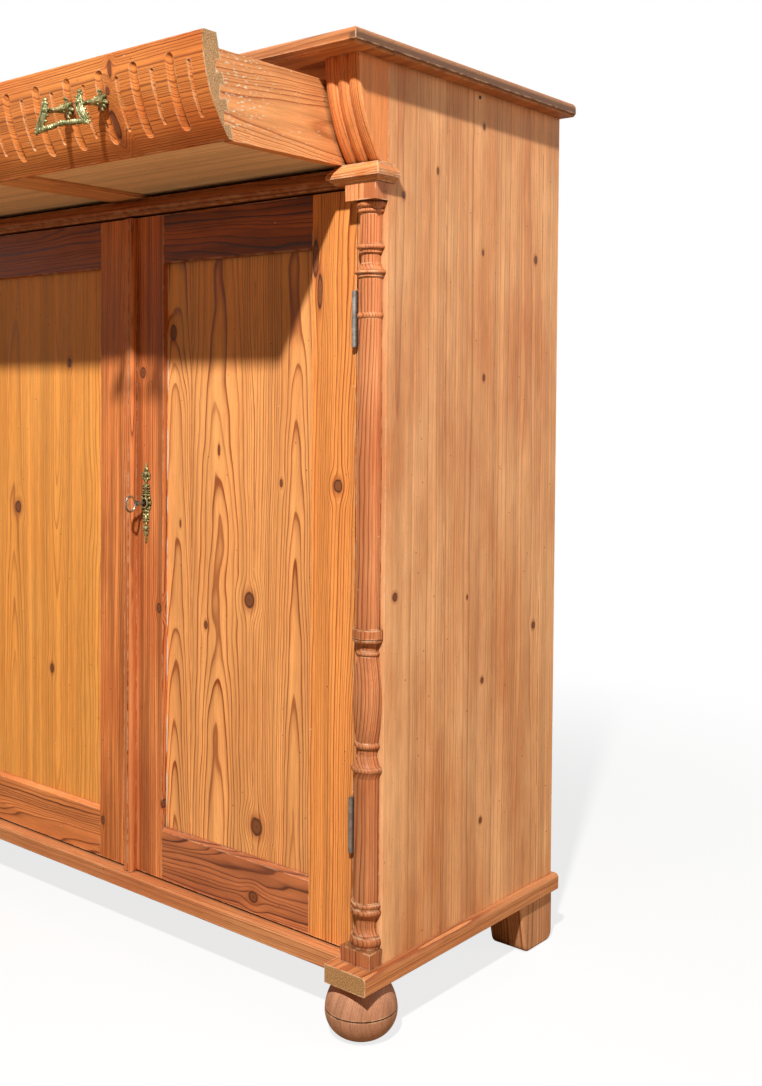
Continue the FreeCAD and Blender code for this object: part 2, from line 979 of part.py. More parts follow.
def astragal():
    # A moulded strip on the closing edge of the right door: a flat, a quirk and a round.
    z0 = base_top + astragal_foot_gap

    def place(width_share, height_share):
        return vec(
            right_door_edge + width_share * astragal_width, front - height_share * astragal_height, z0
        )

    last = place(0, 0)
    edges = []
    for width_share, height_share, middle in astragal_shares:
        point = place(width_share, height_share)
        if middle is None:
            edges.append(Part.LineSegment(last, point).toShape())
        else:
            edges.append(Part.Arc(last, place(*middle), point).toShape())
        last = point
    return outline_face(edges).extrude(vec(0, 0, door_top - astragal_top_gap - z0))


# Half outline of the escutcheon from its foot: height share, half-width share.
escutcheon_shares = (
    (0.000, 0.00),
    (0.010, 0.10),
    (0.060, 0.12),
    (0.075, 0.20),
    (0.090, 0.34),
    (0.120, 0.36),
    (0.130, 0.28),
    (0.150, 0.44),
    (0.170, 0.52),
    (0.200, 0.44),
    (0.215, 0.26),
    (0.240, 0.24),
    (0.265, 0.42),
    (0.300, 0.56),
    (0.325, 0.46),
    (0.350, 0.62),
    (0.385, 0.70),
    (0.400, 0.52),
    (0.425, 0.72),
    (0.500, 0.80),
    (0.590, 0.72),
    (0.612, 0.56),
    (0.630, 0.72),
    (0.655, 0.74),
    (0.665, 0.54),
    (0.690, 0.60),
    (0.715, 0.72),
    (0.735, 0.52),
    (0.755, 0.28),
    (0.775, 0.28),
    (0.790, 0.60),
    (0.820, 1.00),
    (0.860, 0.92),
    (0.880, 0.52),
    (0.895, 0.26),
    (0.910, 0.42),
    (0.940, 0.44),
    (0.960, 0.24),
    (1.000, 0.00),
)


def keyhole_cutter(y0, y1):
    # A round hole with a slot below it for the key's bit.
    hole = rod(vec(keyhole_x, y0, keyhole_height), vec(0, 1, 0), keyhole_radius, y1 - y0)
    slot = box(
        keyhole_x - key_slot_width / 2,
        keyhole_x + key_slot_width / 2,
        y0,
        y1,
        keyhole_height - key_bit_reach - key_slot_gap,
        keyhole_height,
    )
    return hole.fuse(slot)


def escutcheon():
    z0 = keyhole_height - escutcheon_height / 2
    half = escutcheon_width / 2
    rows = [(z0 + h * escutcheon_height, w * half) for h, w in escutcheon_shares]
    right = [vec(keyhole_x + w, front, z) for z, w in rows]
    left = [vec(keyhole_x - w, front, z) for z, w in reversed(rows[1:-1])]
    plate = polygon_face(right + left).extrude(vec(0, -escutcheon_thickness, 0))
    boss_length = escutcheon_thickness + boss_height
    boss = rod(vec(keyhole_x, front, keyhole_height), vec(0, -1, 0), boss_radius, boss_length)
    rim = edges_where(boss, lambda b: near(b.YMax, front - boss_length) and b.XLength > boss_radius)
    boss = boss.makeFillet(boss_round, rim)
    plate = plate.fuse(boss)
    return plate.cut(keyhole_cutter(front - boss_length - overrun, front + overrun))


def lock_case_span():
    x0 = right_door_edge
    z0 = keyhole_height - lock_case_height / 2
    return x0, x0 + lock_case_width, door_back - lock_case_thickness, door_back, z0, z0 + lock_case_height


def lock_bolt_span(gap):
    # The bolt at rest, drawn back flush with the door's edge, grown by a gap on every side.
    y_middle = door_back - lock_case_thickness / 2
    z_middle = keyhole_height + bolt_above_key
    x0 = right_door_edge
    return (
        x0 - gap,
        x0 + lock_bolt_length + gap,
        y_middle - lock_bolt_thickness / 2 - gap,
        y_middle + lock_bolt_thickness / 2 + gap,
        z_middle - lock_bolt_height / 2 - gap,
        z_middle + lock_bolt_height / 2 + gap,
    )


def lock_case():
    # A hollow case let into the back of the stile, with a pin for the hollow key.
    x0, x1, y0, y1, z0, z1 = lock_case_span()
    w = lock_wall
    case = box(x0, x1, y0, y1, z0, z1)
    case = case.cut(box(x0 + forend_thickness, x1 - w, y0 + w, y1 - w, z0 + w, z1 - w))
    bx0, _, by0, by1, bz0, bz1 = lock_bolt_span(lock_bolt_gap)
    case = case.cut(box(bx0 - overrun, x0 + forend_thickness + w, by0, by1, bz0, bz1))
    case = case.cut(keyhole_cutter(y0 - overrun, y0 + w + w))
    pin = rod(
        vec(keyhole_x, y1 - w, keyhole_height), vec(0, -1, 0), key_bore_radius, lock_case_thickness - w
    )
    return case.fuse(pin).removeSplitter()


def lock_bolt():
    # The bolt with a long tail that rides in the case.
    return box(*lock_bolt_span(0))


def key():
    # A hollow key on the lock's pin: oval bow, collar, stem and bit, with the bit pointing down.
    y_tip = door_back - lock_wall - key_tip_gap
    y_bow = front - key_stand
    middle = vec(keyhole_x, y_bow, keyhole_height)
    stem = rod(middle, vec(0, 1, 0), key_stem_radius, y_tip - y_bow)
    bit = box(
        keyhole_x - key_bit_thickness / 2,
        keyhole_x + key_bit_thickness / 2,
        y_tip - key_bit_length,
        y_tip,
        keyhole_height - key_bit_reach,
        keyhole_height,
    )
    collar_foot = vec(keyhole_x, y_bow + key_collar_length, keyhole_height)
    collar = rod(collar_foot, vec(0, 1, 0), key_collar_radius, key_collar_length)
    outer = bow_height / 2
    ring = Part.makeTorus(outer - bow_wire, bow_wire, vec(0, 0, 0), vec(1, 0, 0))
    squeeze = FreeCAD.Matrix()
    squeeze.scale(1, bow_length / bow_height, 1)
    bow = ring.transformGeometry(squeeze)
    bow.translate(vec(keyhole_x, y_bow - bow_length / 2 + bow_wire, keyhole_height))
    whole = stem.fuse([bit, collar, bow])
    bore_radius = key_bore_radius + key_pin_clearance
    bore_foot = vec(keyhole_x, y_tip + overrun, keyhole_height)
    return whole.cut(rod(bore_foot, vec(0, -1, 0), bore_radius, lock_case_thickness + overrun))


def striker_span(margin_x0, margin_x1):
    _, _, y0, y1, z0, z1 = lock_bolt_span(striker_margin)
    z_middle = (z0 + z1) / 2
    return box(
        left_door_edge - margin_x0,
        left_door_edge + margin_x1,
        y0 - striker_margin,
        y1 + striker_margin,
        z_middle - striker_height / 2,
        z_middle + striker_height / 2,
    )


def striker_hole(reach):
    _, _, y0, y1, z0, z1 = lock_bolt_span(striker_margin)
    return box(left_door_edge - reach, left_door_edge + overrun, y0, y1, z0, z1)


def striker_plate():
    # A thin plate let into the left door's edge, with a hole for the lock's bolt.
    return striker_span(striker_thickness, 0).cut(striker_hole(striker_thickness + overrun))


def striker_seat():
    return striker_span(striker_thickness, overrun).fuse(striker_hole(lock_throw + striker_margin))


def bolt_line():
    y = door_back + stop_gap + stop_thickness + bolt_stop_gap + bolt_bar_radius
    return left_door_edge - bolt_inset, y


def bolt_top():
    return rail_bottom - stop_height - bolt_rest_gap


def left_door_bolt():
    # A round bar that slides up behind the stop strip, with a knob on its inner side.
    x, y = bolt_line()
    z1 = bolt_top()
    bar = rod(vec(x, y, z1 - bolt_bar_length), vec(0, 0, 1), bolt_bar_radius, bolt_bar_length)
    knob_z = z1 - bolt_bar_length / 2
    stem = rod(vec(x, y, knob_z), vec(0, 1, 0), bolt_stem_radius, bolt_knob_stand)
    ball = Part.makeSphere(bolt_knob_radius, vec(x, y + bolt_knob_stand, knob_z))
    return bar.fuse([stem, ball])


def left_door_bolt_plate():
    # A plate on the back of the left door with two staples that guide the bolt.
    x, y = bolt_line()
    z1 = bolt_top() - bolt_rest_gap
    z0 = z1 - bolt_plate_height
    half = bolt_plate_width / 2
    plate = box(x - half, x + half, door_back, door_back + bolt_plate_thickness, z0, z1)
    radius = bolt_bar_radius + pin_clearance
    reach = radius + staple_wall
    for low in (z0, z1 - staple_height):
        plate = plate.fuse(box(x - reach, x + reach, door_back, y + reach, low, low + staple_height))
    hole = rod(vec(x, y, z0 - overrun), vec(0, 0, 1), radius, bolt_plate_height + 2 * overrun)
    return plate.cut(hole).removeSplitter()


def drawer_x():
    return bracket_inner_x - drawer_side_gap


def drawer_foot():
    return rail_top + drawer_under_gap


def drawer_length():
    return carcass_depth - back_thickness - drawer_rear_clearance


def front_foot():
    return rail_top + drawer_front_lift


def front_inner_y(z):
    # The drawer front's slanted inner face, thin at its foot and thick at its top.
    low = frieze_y(front_foot()) + drawer_front_foot
    high = frieze_y(curve_z) + drawer_front_top
    return low + (high - low) * (z - front_foot()) / drawer_front_height


def front_region(set_back):
    # All the room in front of the drawer front's inner face, or of that face set back towards y 0.
    z0 = rail_top - overrun
    z1 = soffit
    far = front - reed_room - frieze_radius
    corners = [
        vec(-half_width, front_inner_y(z0) + set_back, z0),
        vec(-half_width, front_inner_y(z1) + set_back, z1),
        vec(-half_width, far, z1),
        vec(-half_width, far, z0),
    ]
    return polygon_face(corners).extrude(vec(carcass_width, 0, 0))


def drawer_tails():
    # The dovetails of the right drawer side, as prisms that widen towards the front.
    x1 = drawer_x()
    tails = []
    for share in tail_height_shares:
        z = drawer_foot() + share * drawer_side_height
        root = front_inner_y(z) + tail_length
        tip = front_inner_y(z) - tail_length
        wide = tail_half_height + tail_flare
        narrow = tail_half_height - tail_flare
        corners = [
            vec(x1 - drawer_side_thickness, root, z - narrow),
            vec(x1 - drawer_side_thickness, tip, z - wide),
            vec(x1 - drawer_side_thickness, tip, z + wide),
            vec(x1 - drawer_side_thickness, root, z + narrow),
        ]
        tails.append(polygon_face(corners).extrude(vec(drawer_side_thickness, 0, 0)))
    return tails


def drawer_bottom_sheet(x0, x1):
    # The bottom's panel, which also reaches into the groove of the front.
    z0 = drawer_foot() + drawer_bottom_rise
    y1 = front + drawer_length()
    sheet = box(x0, x1, front - frieze_top_overhang, y1, z0, z0 + drawer_bottom_thickness)
    return sheet.cut(front_region(-drawer_front_groove))


def drawer_side():
    # A plain side, dovetailed into the front and grooved for the bottom.
    x1 = drawer_x()
    x0 = x1 - drawer_side_thickness
    z0 = drawer_foot()
    y1 = front + drawer_length()
    side = box(x0, x1, front - frieze_top_overhang, y1, z0, z0 + drawer_side_height)
    side = side.cut(front_region(0)).fuse(drawer_tails()).removeSplitter()
    return side.cut(drawer_bottom_sheet(0, x0 + drawer_groove))


def drawer_muntin():
    # The wide bar under the middle of the drawer, grooved for both panels of the bottom.
    z0 = drawer_foot()
    x = muntin_width / 2
    y1 = front + drawer_length()
    bar = box(-x, x, front - frieze_top_overhang, y1, z0, z0 + muntin_thickness)
    bar = bar.cut(front_region(0))
    right = drawer_bottom_sheet(x - drawer_groove, drawer_x())
    back_room = drawer_back_box()
    return bar.cut([right, mirrored(right), back_room])


def drawer_bottoms():
    x0 = muntin_width / 2 - drawer_groove
    x1 = drawer_x() - drawer_side_thickness + drawer_groove
    return pair(drawer_bottom_sheet(x0, x1))


def drawer_back_box():
    x = drawer_x() - drawer_side_thickness
    y1 = front + drawer_length() - drawer_back_setback
    z0 = drawer_foot() + drawer_bottom_rise + drawer_bottom_thickness
    z1 = drawer_foot() + drawer_side_height
    return box(-x, x, y1 - drawer_back_thickness, y1, z0, z1)


def flute(x, width, depth, low, high):
    # A gouged flute that follows the curved front: part of a ring, with a ball at each end.
    small = (width**2 / 4 + depth**2) / (2 * depth)
    large = frieze_radius + small - depth
    centre = vec(x, curve_y, curve_z)
    angles = [asin((curve_z - front_foot() - height) / frieze_radius) for height in (low, high)]
    ends = [centre.add(vec(0, -large * cos(angle), -large * sin(angle))) for angle in angles]
    along = vec(0, sin(angles[1]), -cos(angles[1]))
    ring = Part.Face(Part.Wire(Part.Circle(ends[1], along, small).toShape()))
    sweep = ring.revolve(centre, vec(1, 0, 0), degrees(angles[0] - angles[1]))
    return sweep.fuse([Part.makeSphere(small, end) for end in ends])


def drawer_front():
    # The cushion-shaped front, cut with flutes of two widths and sockets for the dovetails.
    x1 = drawer_x()
    z0 = front_foot()
    z1 = z0 + drawer_front_height
    z_middle = (z0 + z1) / 2
    foot_out = vec(-x1, frieze_y(z0), z0)
    head_out = vec(-x1, frieze_y(z1), z1)
    curve = Part.Arc(foot_out, vec(-x1, frieze_y(z_middle), z_middle), head_out)
    head_in = vec(-x1, front_inner_y(z1), z1)
    foot_in = vec(-x1, front_inner_y(z0), z0)
    edges = [
        curve.toShape(),
        Part.LineSegment(head_out, head_in).toShape(),
        Part.LineSegment(head_in, foot_in).toShape(),
        Part.LineSegment(foot_in, foot_out).toShape(),
    ]
    board = outline_face(edges).extrude(vec(2 * x1, 0, 0))
    rim = edges_where(board, lambda b: b.XLength > x1 and near(b.ZMin, z1) and near(b.YMax, head_out.y))
    board = board.makeFillet(drawer_front_ease, rim)
    for k in range(-flute_side_count, flute_side_count + 1):
        if k % 2:
            sizes = (narrow_flute_width, narrow_flute_depth, narrow_flute_low, narrow_flute_high)
        else:
            sizes = (wide_flute_width, wide_flute_depth, wide_flute_low, wide_flute_high)
        board = board.cut(flute(k * flute_pitch, *sizes))
    sockets = both_sides(drawer_tails())
    sheet = drawer_bottom_sheet(0, drawer_x() - drawer_side_thickness + drawer_groove)
    board = board.cut(sockets + [sheet, mirrored(sheet)])
    return board.cut([on_front(stud_rod(x), sign) for sign in (-1, 1) for x in post_places()])


def post_places():
    return -pull_spacing / 2, pull_spacing / 2


def pull_angle():
    return asin((curve_z - rail_top - pull_height) / frieze_radius)


def on_front(shape, sign):
    # Moves a shape drawn about a pull's middle, with the drawer's face at y 0, onto that face.
    z = rail_top + pull_height
    moved = shape.copy()
    moved.rotate(vec(0, 0, 0), vec(1, 0, 0), degrees(pull_angle()))
    moved.translate(vec(sign * pull_x, frieze_y(z), z))
    return moved


def pivot_place():
    # Where a bail's pivot stands: at the ends of the posts, which lean down with the curved face.
    reach = rosette_thickness + pull_post_length
    z = rail_top + pull_height
    return vec(0, frieze_y(z) - reach * cos(pull_angle()), z - reach * sin(pull_angle()))


def board_thickness_at_pull():
    # How far a stud goes through the drawer's front, from the curved face to the slanted back.
    z = rail_top + pull_height
    slope = (front_inner_y(soffit) - front_inner_y(rail_top)) / frieze_height
    level = front_inner_y(z) - frieze_y(z)
    return level / (cos(pull_angle()) - slope * sin(pull_angle()))


def stud_rod(x):
    length = board_thickness_at_pull() + nut_height + stud_end
    return rod(vec(x, 0, 0), vec(0, 1, 0), stud_radius, length)


def pull_post(x):
    # Rosette, neck, ball and cross pin of one post, with the stud that goes through the front.
    ball_y = -rosette_thickness - pull_post_length
    rosette_foot = vec(x, rosette_sink, 0)
    rosette = rod(rosette_foot, vec(0, -1, 0), rosette_radius, rosette_thickness + rosette_sink)
    neck = rod(vec(x, 0, 0), vec(0, -1, 0), post_radius, -ball_y)
    ball = Part.makeSphere(ball_radius, vec(x, ball_y, 0))
    pin_reach = ball_radius + lug_gap + lug_thickness + lug_gap
    pin = rod(vec(x - pin_reach, ball_y, 0), vec(1, 0, 0), pull_pin_radius, 2 * pin_reach)
    return rosette.fuse([neck, ball, pin, stud_rod(x)])


def pull_posts(board):
    posts = [on_front(pull_post(x), sign).cut(board) for sign in (-1, 1) for x in post_places()]
    return group(posts)


def pull_nut(x):
    # A round nut, drawn from inside the board, whose slanted back later trims its seat.
    sunk = board_thickness_at_pull() / 2
    nut = rod(vec(x, sunk, 0), vec(0, 1, 0), nut_radius, sunk + nut_height)
    return nut.cut(stud_rod(x))


# Half outline of a bail's arm about its pivot: height share of the arm, half-width share.
arm_shares = (
    (-1.00, 0.30),
    (-0.90, 0.62),
    (-0.78, 0.66),
    (-0.70, 0.44),
    (-0.58, 0.62),
    (-0.40, 0.90),
    (-0.22, 0.80),
    (-0.10, 0.62),
    (0.00, 0.86),
    (0.12, 1.00),
    (0.22, 0.84),
    (0.28, 0.46),
    (0.34, 0.30),
    (0.42, 0.30),
)

# Rows of half the bail's grip, from a corner to the middle: share of the length, radius share,
# bulge share.
grip_shares = (
    (0.00, 0.55, 0.0),
    (0.06, 0.90, 0.10),
    (0.16, 0.90, 0.0),
    (0.19, 0.60, 0.0),
    (0.24, 0.80, 0.12),
    (0.40, 0.80, 0.0),
    (0.42, 0.62, 0.0),
    (0.47, 0.85, 0.12),
    (0.66, 0.85, 0.0),
    (0.68, 0.66, 0.0),
    (0.73, 0.90, 0.14),
    (0.96, 0.90, 0.0),
    (1.00, 0.70, 0.0),
)


def bail_arm():
    # The right arm, with its pivot at y 0: a leaf that splays outwards below the pivot, with a ball
    # on top, a boss in front and two eyes behind.
    x = pull_spacing / 2
    arm_y = -ball_radius - arm_gap
    half = arm_width / 2
    rows = [(h * arm_below, max(0, -h) * arm_splay, w * half) for h, w in arm_shares]
    right = [vec(x + out + w, arm_y, z) for z, out, w in rows]
    left = [vec(x + out - w, arm_y, z) for z, out, w in reversed(rows)]
    arm = polygon_face(right + left).extrude(vec(0, -arm_thickness, 0))
    finial = Part.makeSphere(arm_finial_radius, vec(x, arm_y - arm_thickness / 2, arm_above))
    boss = Part.makeSphere(arm_boss_radius, vec(x, arm_y - arm_thickness, 0))
    behind = box(x - half, x + half, arm_y, 0, -half, half)
    parts = [arm, finial, boss.cut(behind)]
    for edge in (-1, 1):
        x0 = x + edge * (ball_radius + lug_gap + lug_thickness / 2) - lug_thickness / 2
        eye = rod(vec(x0, 0, 0), vec(1, 0, 0), lug_radius, lug_thickness)
        neck = box(x0, x0 + lug_thickness, arm_y, 0, -lug_radius, lug_radius)
        hole_radius = pull_pin_radius + pull_pin_clearance
        hole = rod(vec(x0 - overrun, 0, 0), vec(1, 0, 0), hole_radius, lug_thickness + 2 * overrun)
        parts.append(eye.fuse(neck).cut(hole))
    return parts


def half_grip():
    # The turned grip from the right arm's corner up to its raised middle.
    y = -ball_radius - arm_gap - arm_thickness / 2
    reach = pull_spacing / 2 + arm_splay
    length = sqrt(reach**2 + grip_rise**2)
    half = turned(grip_shares, grip_radius, length)
    half.rotate(vec(0, 0, 0), vec(0, 1, 0), -degrees(asin(reach / length)))
    half.translate(vec(reach, y, -arm_below))
    knot = Part.makeSphere(grip_radius, vec(0, y, grip_rise - arm_below))
    return [half, knot]


def bail(sign):
    # A swinging bail: two splayed arms joined by a turned grip.
    solids = both_sides(bail_arm() + half_grip())
    whole = solids[0].fuse(solids[1:])
    whole.translate(pivot_place().add(vec(sign * pull_x, 0, 0)))
    return whole


def pulled_out(shape):
    # The drawer stands open, with all that rides on it.
    shape.translate(vec(0, -pull_out, 0))
    return shape


def save_carcass():
    nails = side_nails() + back_nails()
    save("top_board", top_board())
    save_pair("side_panel", side_panel().cut(nails))
    save("corner_posts", pair(corner_post()))
    save_pair("column", column())
    save("capitals", pair(capital()))
    save_pair("frieze_bracket", frieze_bracket())
    save("drawer_rail", drawer_rail())
    save("dust_board", dust_board().cut(nails))
    save("drawer_runners", drawer_runners())
    save("cupboard_floor", cupboard_floor().cut(nails))
    save("back_boards", back_boards().cut(nails))
    save("shelves", shelves().cut(nails))
    save("shelf_cleats", shelf_cleats())
    save("door_stop", door_stop())
    save("frame_nails", group(nails))


def save_base():
    save_pair("base_side_board", base_side_board())
    save("base_front_board", base_front_board())
    save("base_back_rail", base_back_rail())
    save_pair("bun_foot", bun_foot())
    save("block_feet", pair(block_foot()))


def save_doors():
    right = door_pieces(stile_width)
    lock_room = box(*lock_case_span()).fuse(keyhole_cutter(front - overrun, door_back))
    right[0] = right[0].cut(lock_room)
    left = [mirrored(piece) for piece in door_pieces(left_closing_stile_width)]
    left[0] = left[0].cut(striker_seat())
    for name, piece in zip(door_piece_names, right):
        save("right_" + name, piece)
    for name, piece in zip(door_piece_names, left):
        save("left_" + name, piece)
    save("astragal", astragal())
    save("escutcheon", escutcheon())
    save("lock_case", lock_case())
    save("lock_bolt", lock_bolt())
    save("key", key())
    save("striker_plate", striker_plate())
    save("left_bolt", left_door_bolt())
    save("left_bolt_plate", left_door_bolt_plate())


def save_hinges():
    leaves = at_both_hinges(door_leaf)
    screws = screws_at_both_hinges(door_leaf_screws)
    save("right_hinge_leaves", group(leaves))
    save("left_hinge_leaves", group([mirrored(leaf) for leaf in leaves]))
    save("right_hinge_screws", group(screws))
    save("left_hinge_screws", group([mirrored(screw) for screw in screws]))
    save("post_hinge_leaves", group(both_sides(at_both_hinges(post_leaf))))
    save("post_hinge_screws", group(both_sides(screws_at_both_hinges(post_leaf_screws))))
    save("hinge_pins", group(both_sides(at_both_hinges(hinge_pin))))


def save_drawer():
    board = drawer_front()
    nuts = [on_front(pull_nut(x), sign).cut(board) for sign in (-1, 1) for x in post_places()]
    save("drawer_front", pulled_out(board.copy()))
    save_pair("drawer_side", pulled_out(drawer_side()))
    save("drawer_back", pulled_out(drawer_back_box()))
    save("drawer_muntin", pulled_out(drawer_muntin()))
    save("drawer_bottoms", pulled_out(drawer_bottoms()))
    save("pull_posts", pulled_out(pull_posts(board)))
    save("pull_nuts", pulled_out(group(nuts)))
    save("bail_right", pulled_out(bail(1)))
    save("bail_left", pulled_out(bail(-1)))


save_carcass()
save_base()
save_doors()
save_hinges()
save_drawer()
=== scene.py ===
import math
from functools import partial

import bmesh
import bpy
from mathutils import Matrix, Vector


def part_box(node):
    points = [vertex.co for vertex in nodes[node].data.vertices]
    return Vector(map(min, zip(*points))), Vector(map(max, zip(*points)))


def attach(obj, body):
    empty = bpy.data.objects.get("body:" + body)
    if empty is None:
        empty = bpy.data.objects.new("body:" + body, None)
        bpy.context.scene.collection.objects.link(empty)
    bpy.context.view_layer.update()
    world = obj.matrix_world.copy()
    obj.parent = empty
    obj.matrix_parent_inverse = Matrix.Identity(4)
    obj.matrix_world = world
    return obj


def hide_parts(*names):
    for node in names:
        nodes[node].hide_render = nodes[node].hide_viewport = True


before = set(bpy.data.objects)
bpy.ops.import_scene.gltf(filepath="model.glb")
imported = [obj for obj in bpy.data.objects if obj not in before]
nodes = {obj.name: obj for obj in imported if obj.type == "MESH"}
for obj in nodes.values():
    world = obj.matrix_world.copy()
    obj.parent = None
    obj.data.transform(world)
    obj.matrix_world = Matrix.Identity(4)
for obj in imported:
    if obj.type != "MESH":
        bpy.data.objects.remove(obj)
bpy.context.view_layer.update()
print("frame loaded:", len(nodes), "nodes")


def toLinear(hexColour):
    shares = [int(hexColour[i:i + 2], 16) / 255 for i in (1, 3, 5)]
    bent = [s / 12.92 if s <= 0.04045 else ((s + 0.055) / 1.055) ** 2.4 for s in shares]
    return (*bent, 1.0)


def addNode(tree, kind, links=None, stops=None, **settings):
    # kind: the node's type and, after a space, its operation or data type
    # links: a node, a socket, a number or a hex colour for each input, or a pair for both ends of a range
    # stops: for a colour ramp
    kind, *modes = kind.split()
    node = tree.nodes.new("ShaderNode" + kind)
    for mode in modes:
        setattr(node, "operation" if hasattr(node, "operation") else "data_type", mode)
    for key, value in settings.items():
        setattr(node, key, value)
    inputs = dict(links or {})
    for key in ("From", "To"):
        if key in inputs:
            inputs[key + " Min"], inputs[key + " Max"] = inputs.pop(key)
    for key, value in inputs.items():
        if isinstance(value, bpy.types.Node):
            value = value.outputs[0]
        if isinstance(value, bpy.types.NodeSocket):
            tree.links.new(value, node.inputs[key])
        else:
            node.inputs[key].default_value = toLinear(value) if isinstance(value, str) else value
    if stops:
        elements = node.color_ramp.elements
        while len(elements) > 1:
            elements.remove(elements[0])
        for index, (position, colour) in enumerate(stops):
            element = elements[0] if index == 0 else elements.new(position)
            element.position = position
            element.color = toLinear(colour) if isinstance(colour, str) else colour
    return node


def newObject(name, data):
    thing = bpy.data.objects.new(name, data)
    bpy.context.collection.objects.link(thing)
    return thing


def newFinish(name):
    finish = bpy.data.materials.new(name)
    finish.use_nodes = True
    finish.node_tree.nodes.clear()
    return finish, partial(addNode, finish.node_tree)


def onAxes(axes, alongValue, acrossValue, depthValue):
    row = [depthValue] * 3
    row["XYZ".index(axes[0])] = alongValue
    row["XYZ".index(axes[1])] = acrossValue
    return row


def perMm(axes, alongLength, acrossLength):
    return onAxes(axes, 1 / alongLength, 1 / acrossLength, 1 / acrossLength)


def grey(level):
    return (level, level, level, 1.0)


# Waxed pine, planed and then worn by a century of use. The eye gets honey-coloured summer wood,
# thin red-brown winter lines, dark knots and a low sheen.
pineLook = {
    "axes": "ZXY",          # along the grain, across the face, into the board
    "boards": [(0, 40, 0.03, 0.5)],   # centre of the rings across, depth behind, tilt, tone
    "edges": [],            # joints between glued boards, mm
    "ring": 3.0,            # width of a year ring, mm
    # across one ring, from spring wood to the winter line: place and how dark
    "ringTones": [(0.0, 0.12), (0.14, 0.0), (0.5, 0.08), (0.74, 0.42), (0.86, 1.0), (0.95, 1.0), (1.0, 0.12)],
    "bend": (2.8, 240.0, 60.0),       # sway of the grain: how far, how long, how wide, mm
    "wobble": (45.0, 9.0, 1.6),       # close wobble of a line: how long, how wide, how far, mm
    "band": (900.0, 16.0, 0.16),      # broad streaks of tone: how long, how wide, mm, how strong
    "cloud": (210.0, 70.0),           # warm clouds: how long, how wide, mm
    "pale": "#f9b06c",
    "dark": "#8f4a26",
    "warm": "#d97a3d",
    "warmth": 0.35,
    "lines": 1.0,
    "fibreSize": (38.0, 0.9),         # drawn 0.9 mm wide: the real ones are too fine to show
    "fibre": (0.78, 1.13),  # how dark and how pale the fibres run
    "fleckSize": (5.0, 1.3),          # short dark pores: how long, how wide, mm
    "fleckFrom": (0.71, 0.78),        # where in the noise pores start and are whole
    "fleckShare": 0.55,
    "fleck": "#7a4426",
    "fade": None,           # lowest, highest, mm, and the tone at each
    "seams": [],            # glue lines and filler: across, mm, colour, half width
    "filler": None,         # chips of old filler: from, to, mm along, and how many
    "chipSize": (7.0, 1.6),
    "chipFrom": (0.72, 0.76),
    "chipShare": 0.9,
    "chip": "#e2d8bc",
    "knots": [],            # across, along, radius, mm, and how stretched
    "pinKnots": 0,          # spacing of small scattered knots, mm
    "knotCore": "#76462b",
    "knotRim": "#2c1812",
    "knotRings": ("#7a4528", "#6d3d26", "#8c5230"),
    "knotPush": (0.4, 4.2), # lines bend round a knot from here to there, in radii
    "pushShare": 0.85,
    "knotRagged": 0.5,      # how uneven a knot's edge is, in radii
    "knotEdge": (0.95, 1.2),          # a knot fades from here to there
    "knotShare": 0.93,
    "haloEdge": (1.0, 2.1),
    "haloShare": 0.6,
    "halo": "#a4562b",      # resin-soaked wood round a knot
    "speckSpacing": 24.0,   # specks of old dirt and wax, mm
    "speckEdge": (0.036, 0.05),       # a speck fades from here to there, in spacings
    "speckShare": 0.85,
    "specks": ("#3b2318", "#e9c9a4"),
    "endGrain": "#8a5f3a",
    "endShare": 0.6,
    "cutScale": 0.7,        # mottling of end grain, per mm
    "cutTones": (0.45, 1.5),
    "weatheredShadeBand": None,          # grey-brown band of weathering and painted shade on a moulded edge: lowest, highest, how far out it starts, mm
    "weatheredShadeEdges": (1.5, 3.0, 6.0),    # how softly it ends below, above and sideways, mm
    "weatheredShadeTone": "#6a4a37",
    # pale edges: wear plus a painted highlight along every arris
    "worn": "#f3c79d",
    "wearAndHighlight": 0.6,
    "arris": 3.0,           # how far the wear and painted highlight reach over an edge, mm
    "turn": (0.99, 0.9),    # how much an edge turns where the wear and painted highlight start and are whole
    "patchScale": 0.07,     # patches of wear and painted highlight, per mm
    "grimeAndShade": 0.5,
    "grimeShadeTone": "#4b2a1a",
    "corner": 9.0,          # how far the grime and painted shade reach out of a corner, mm
    "open": (0.72, 0.3),    # how open a place is where the grime and painted shade start and are whole
    "relief": 0.5,          # depth of the grain under the fingers, mm
    "heights": (0.55, 0.7, 0.5),      # shares of winter lines, fibres and knots in it
    "sheen": (0.5, 0.38),   # roughness of summer wood and of winter lines
    "seed": 0.0,
}


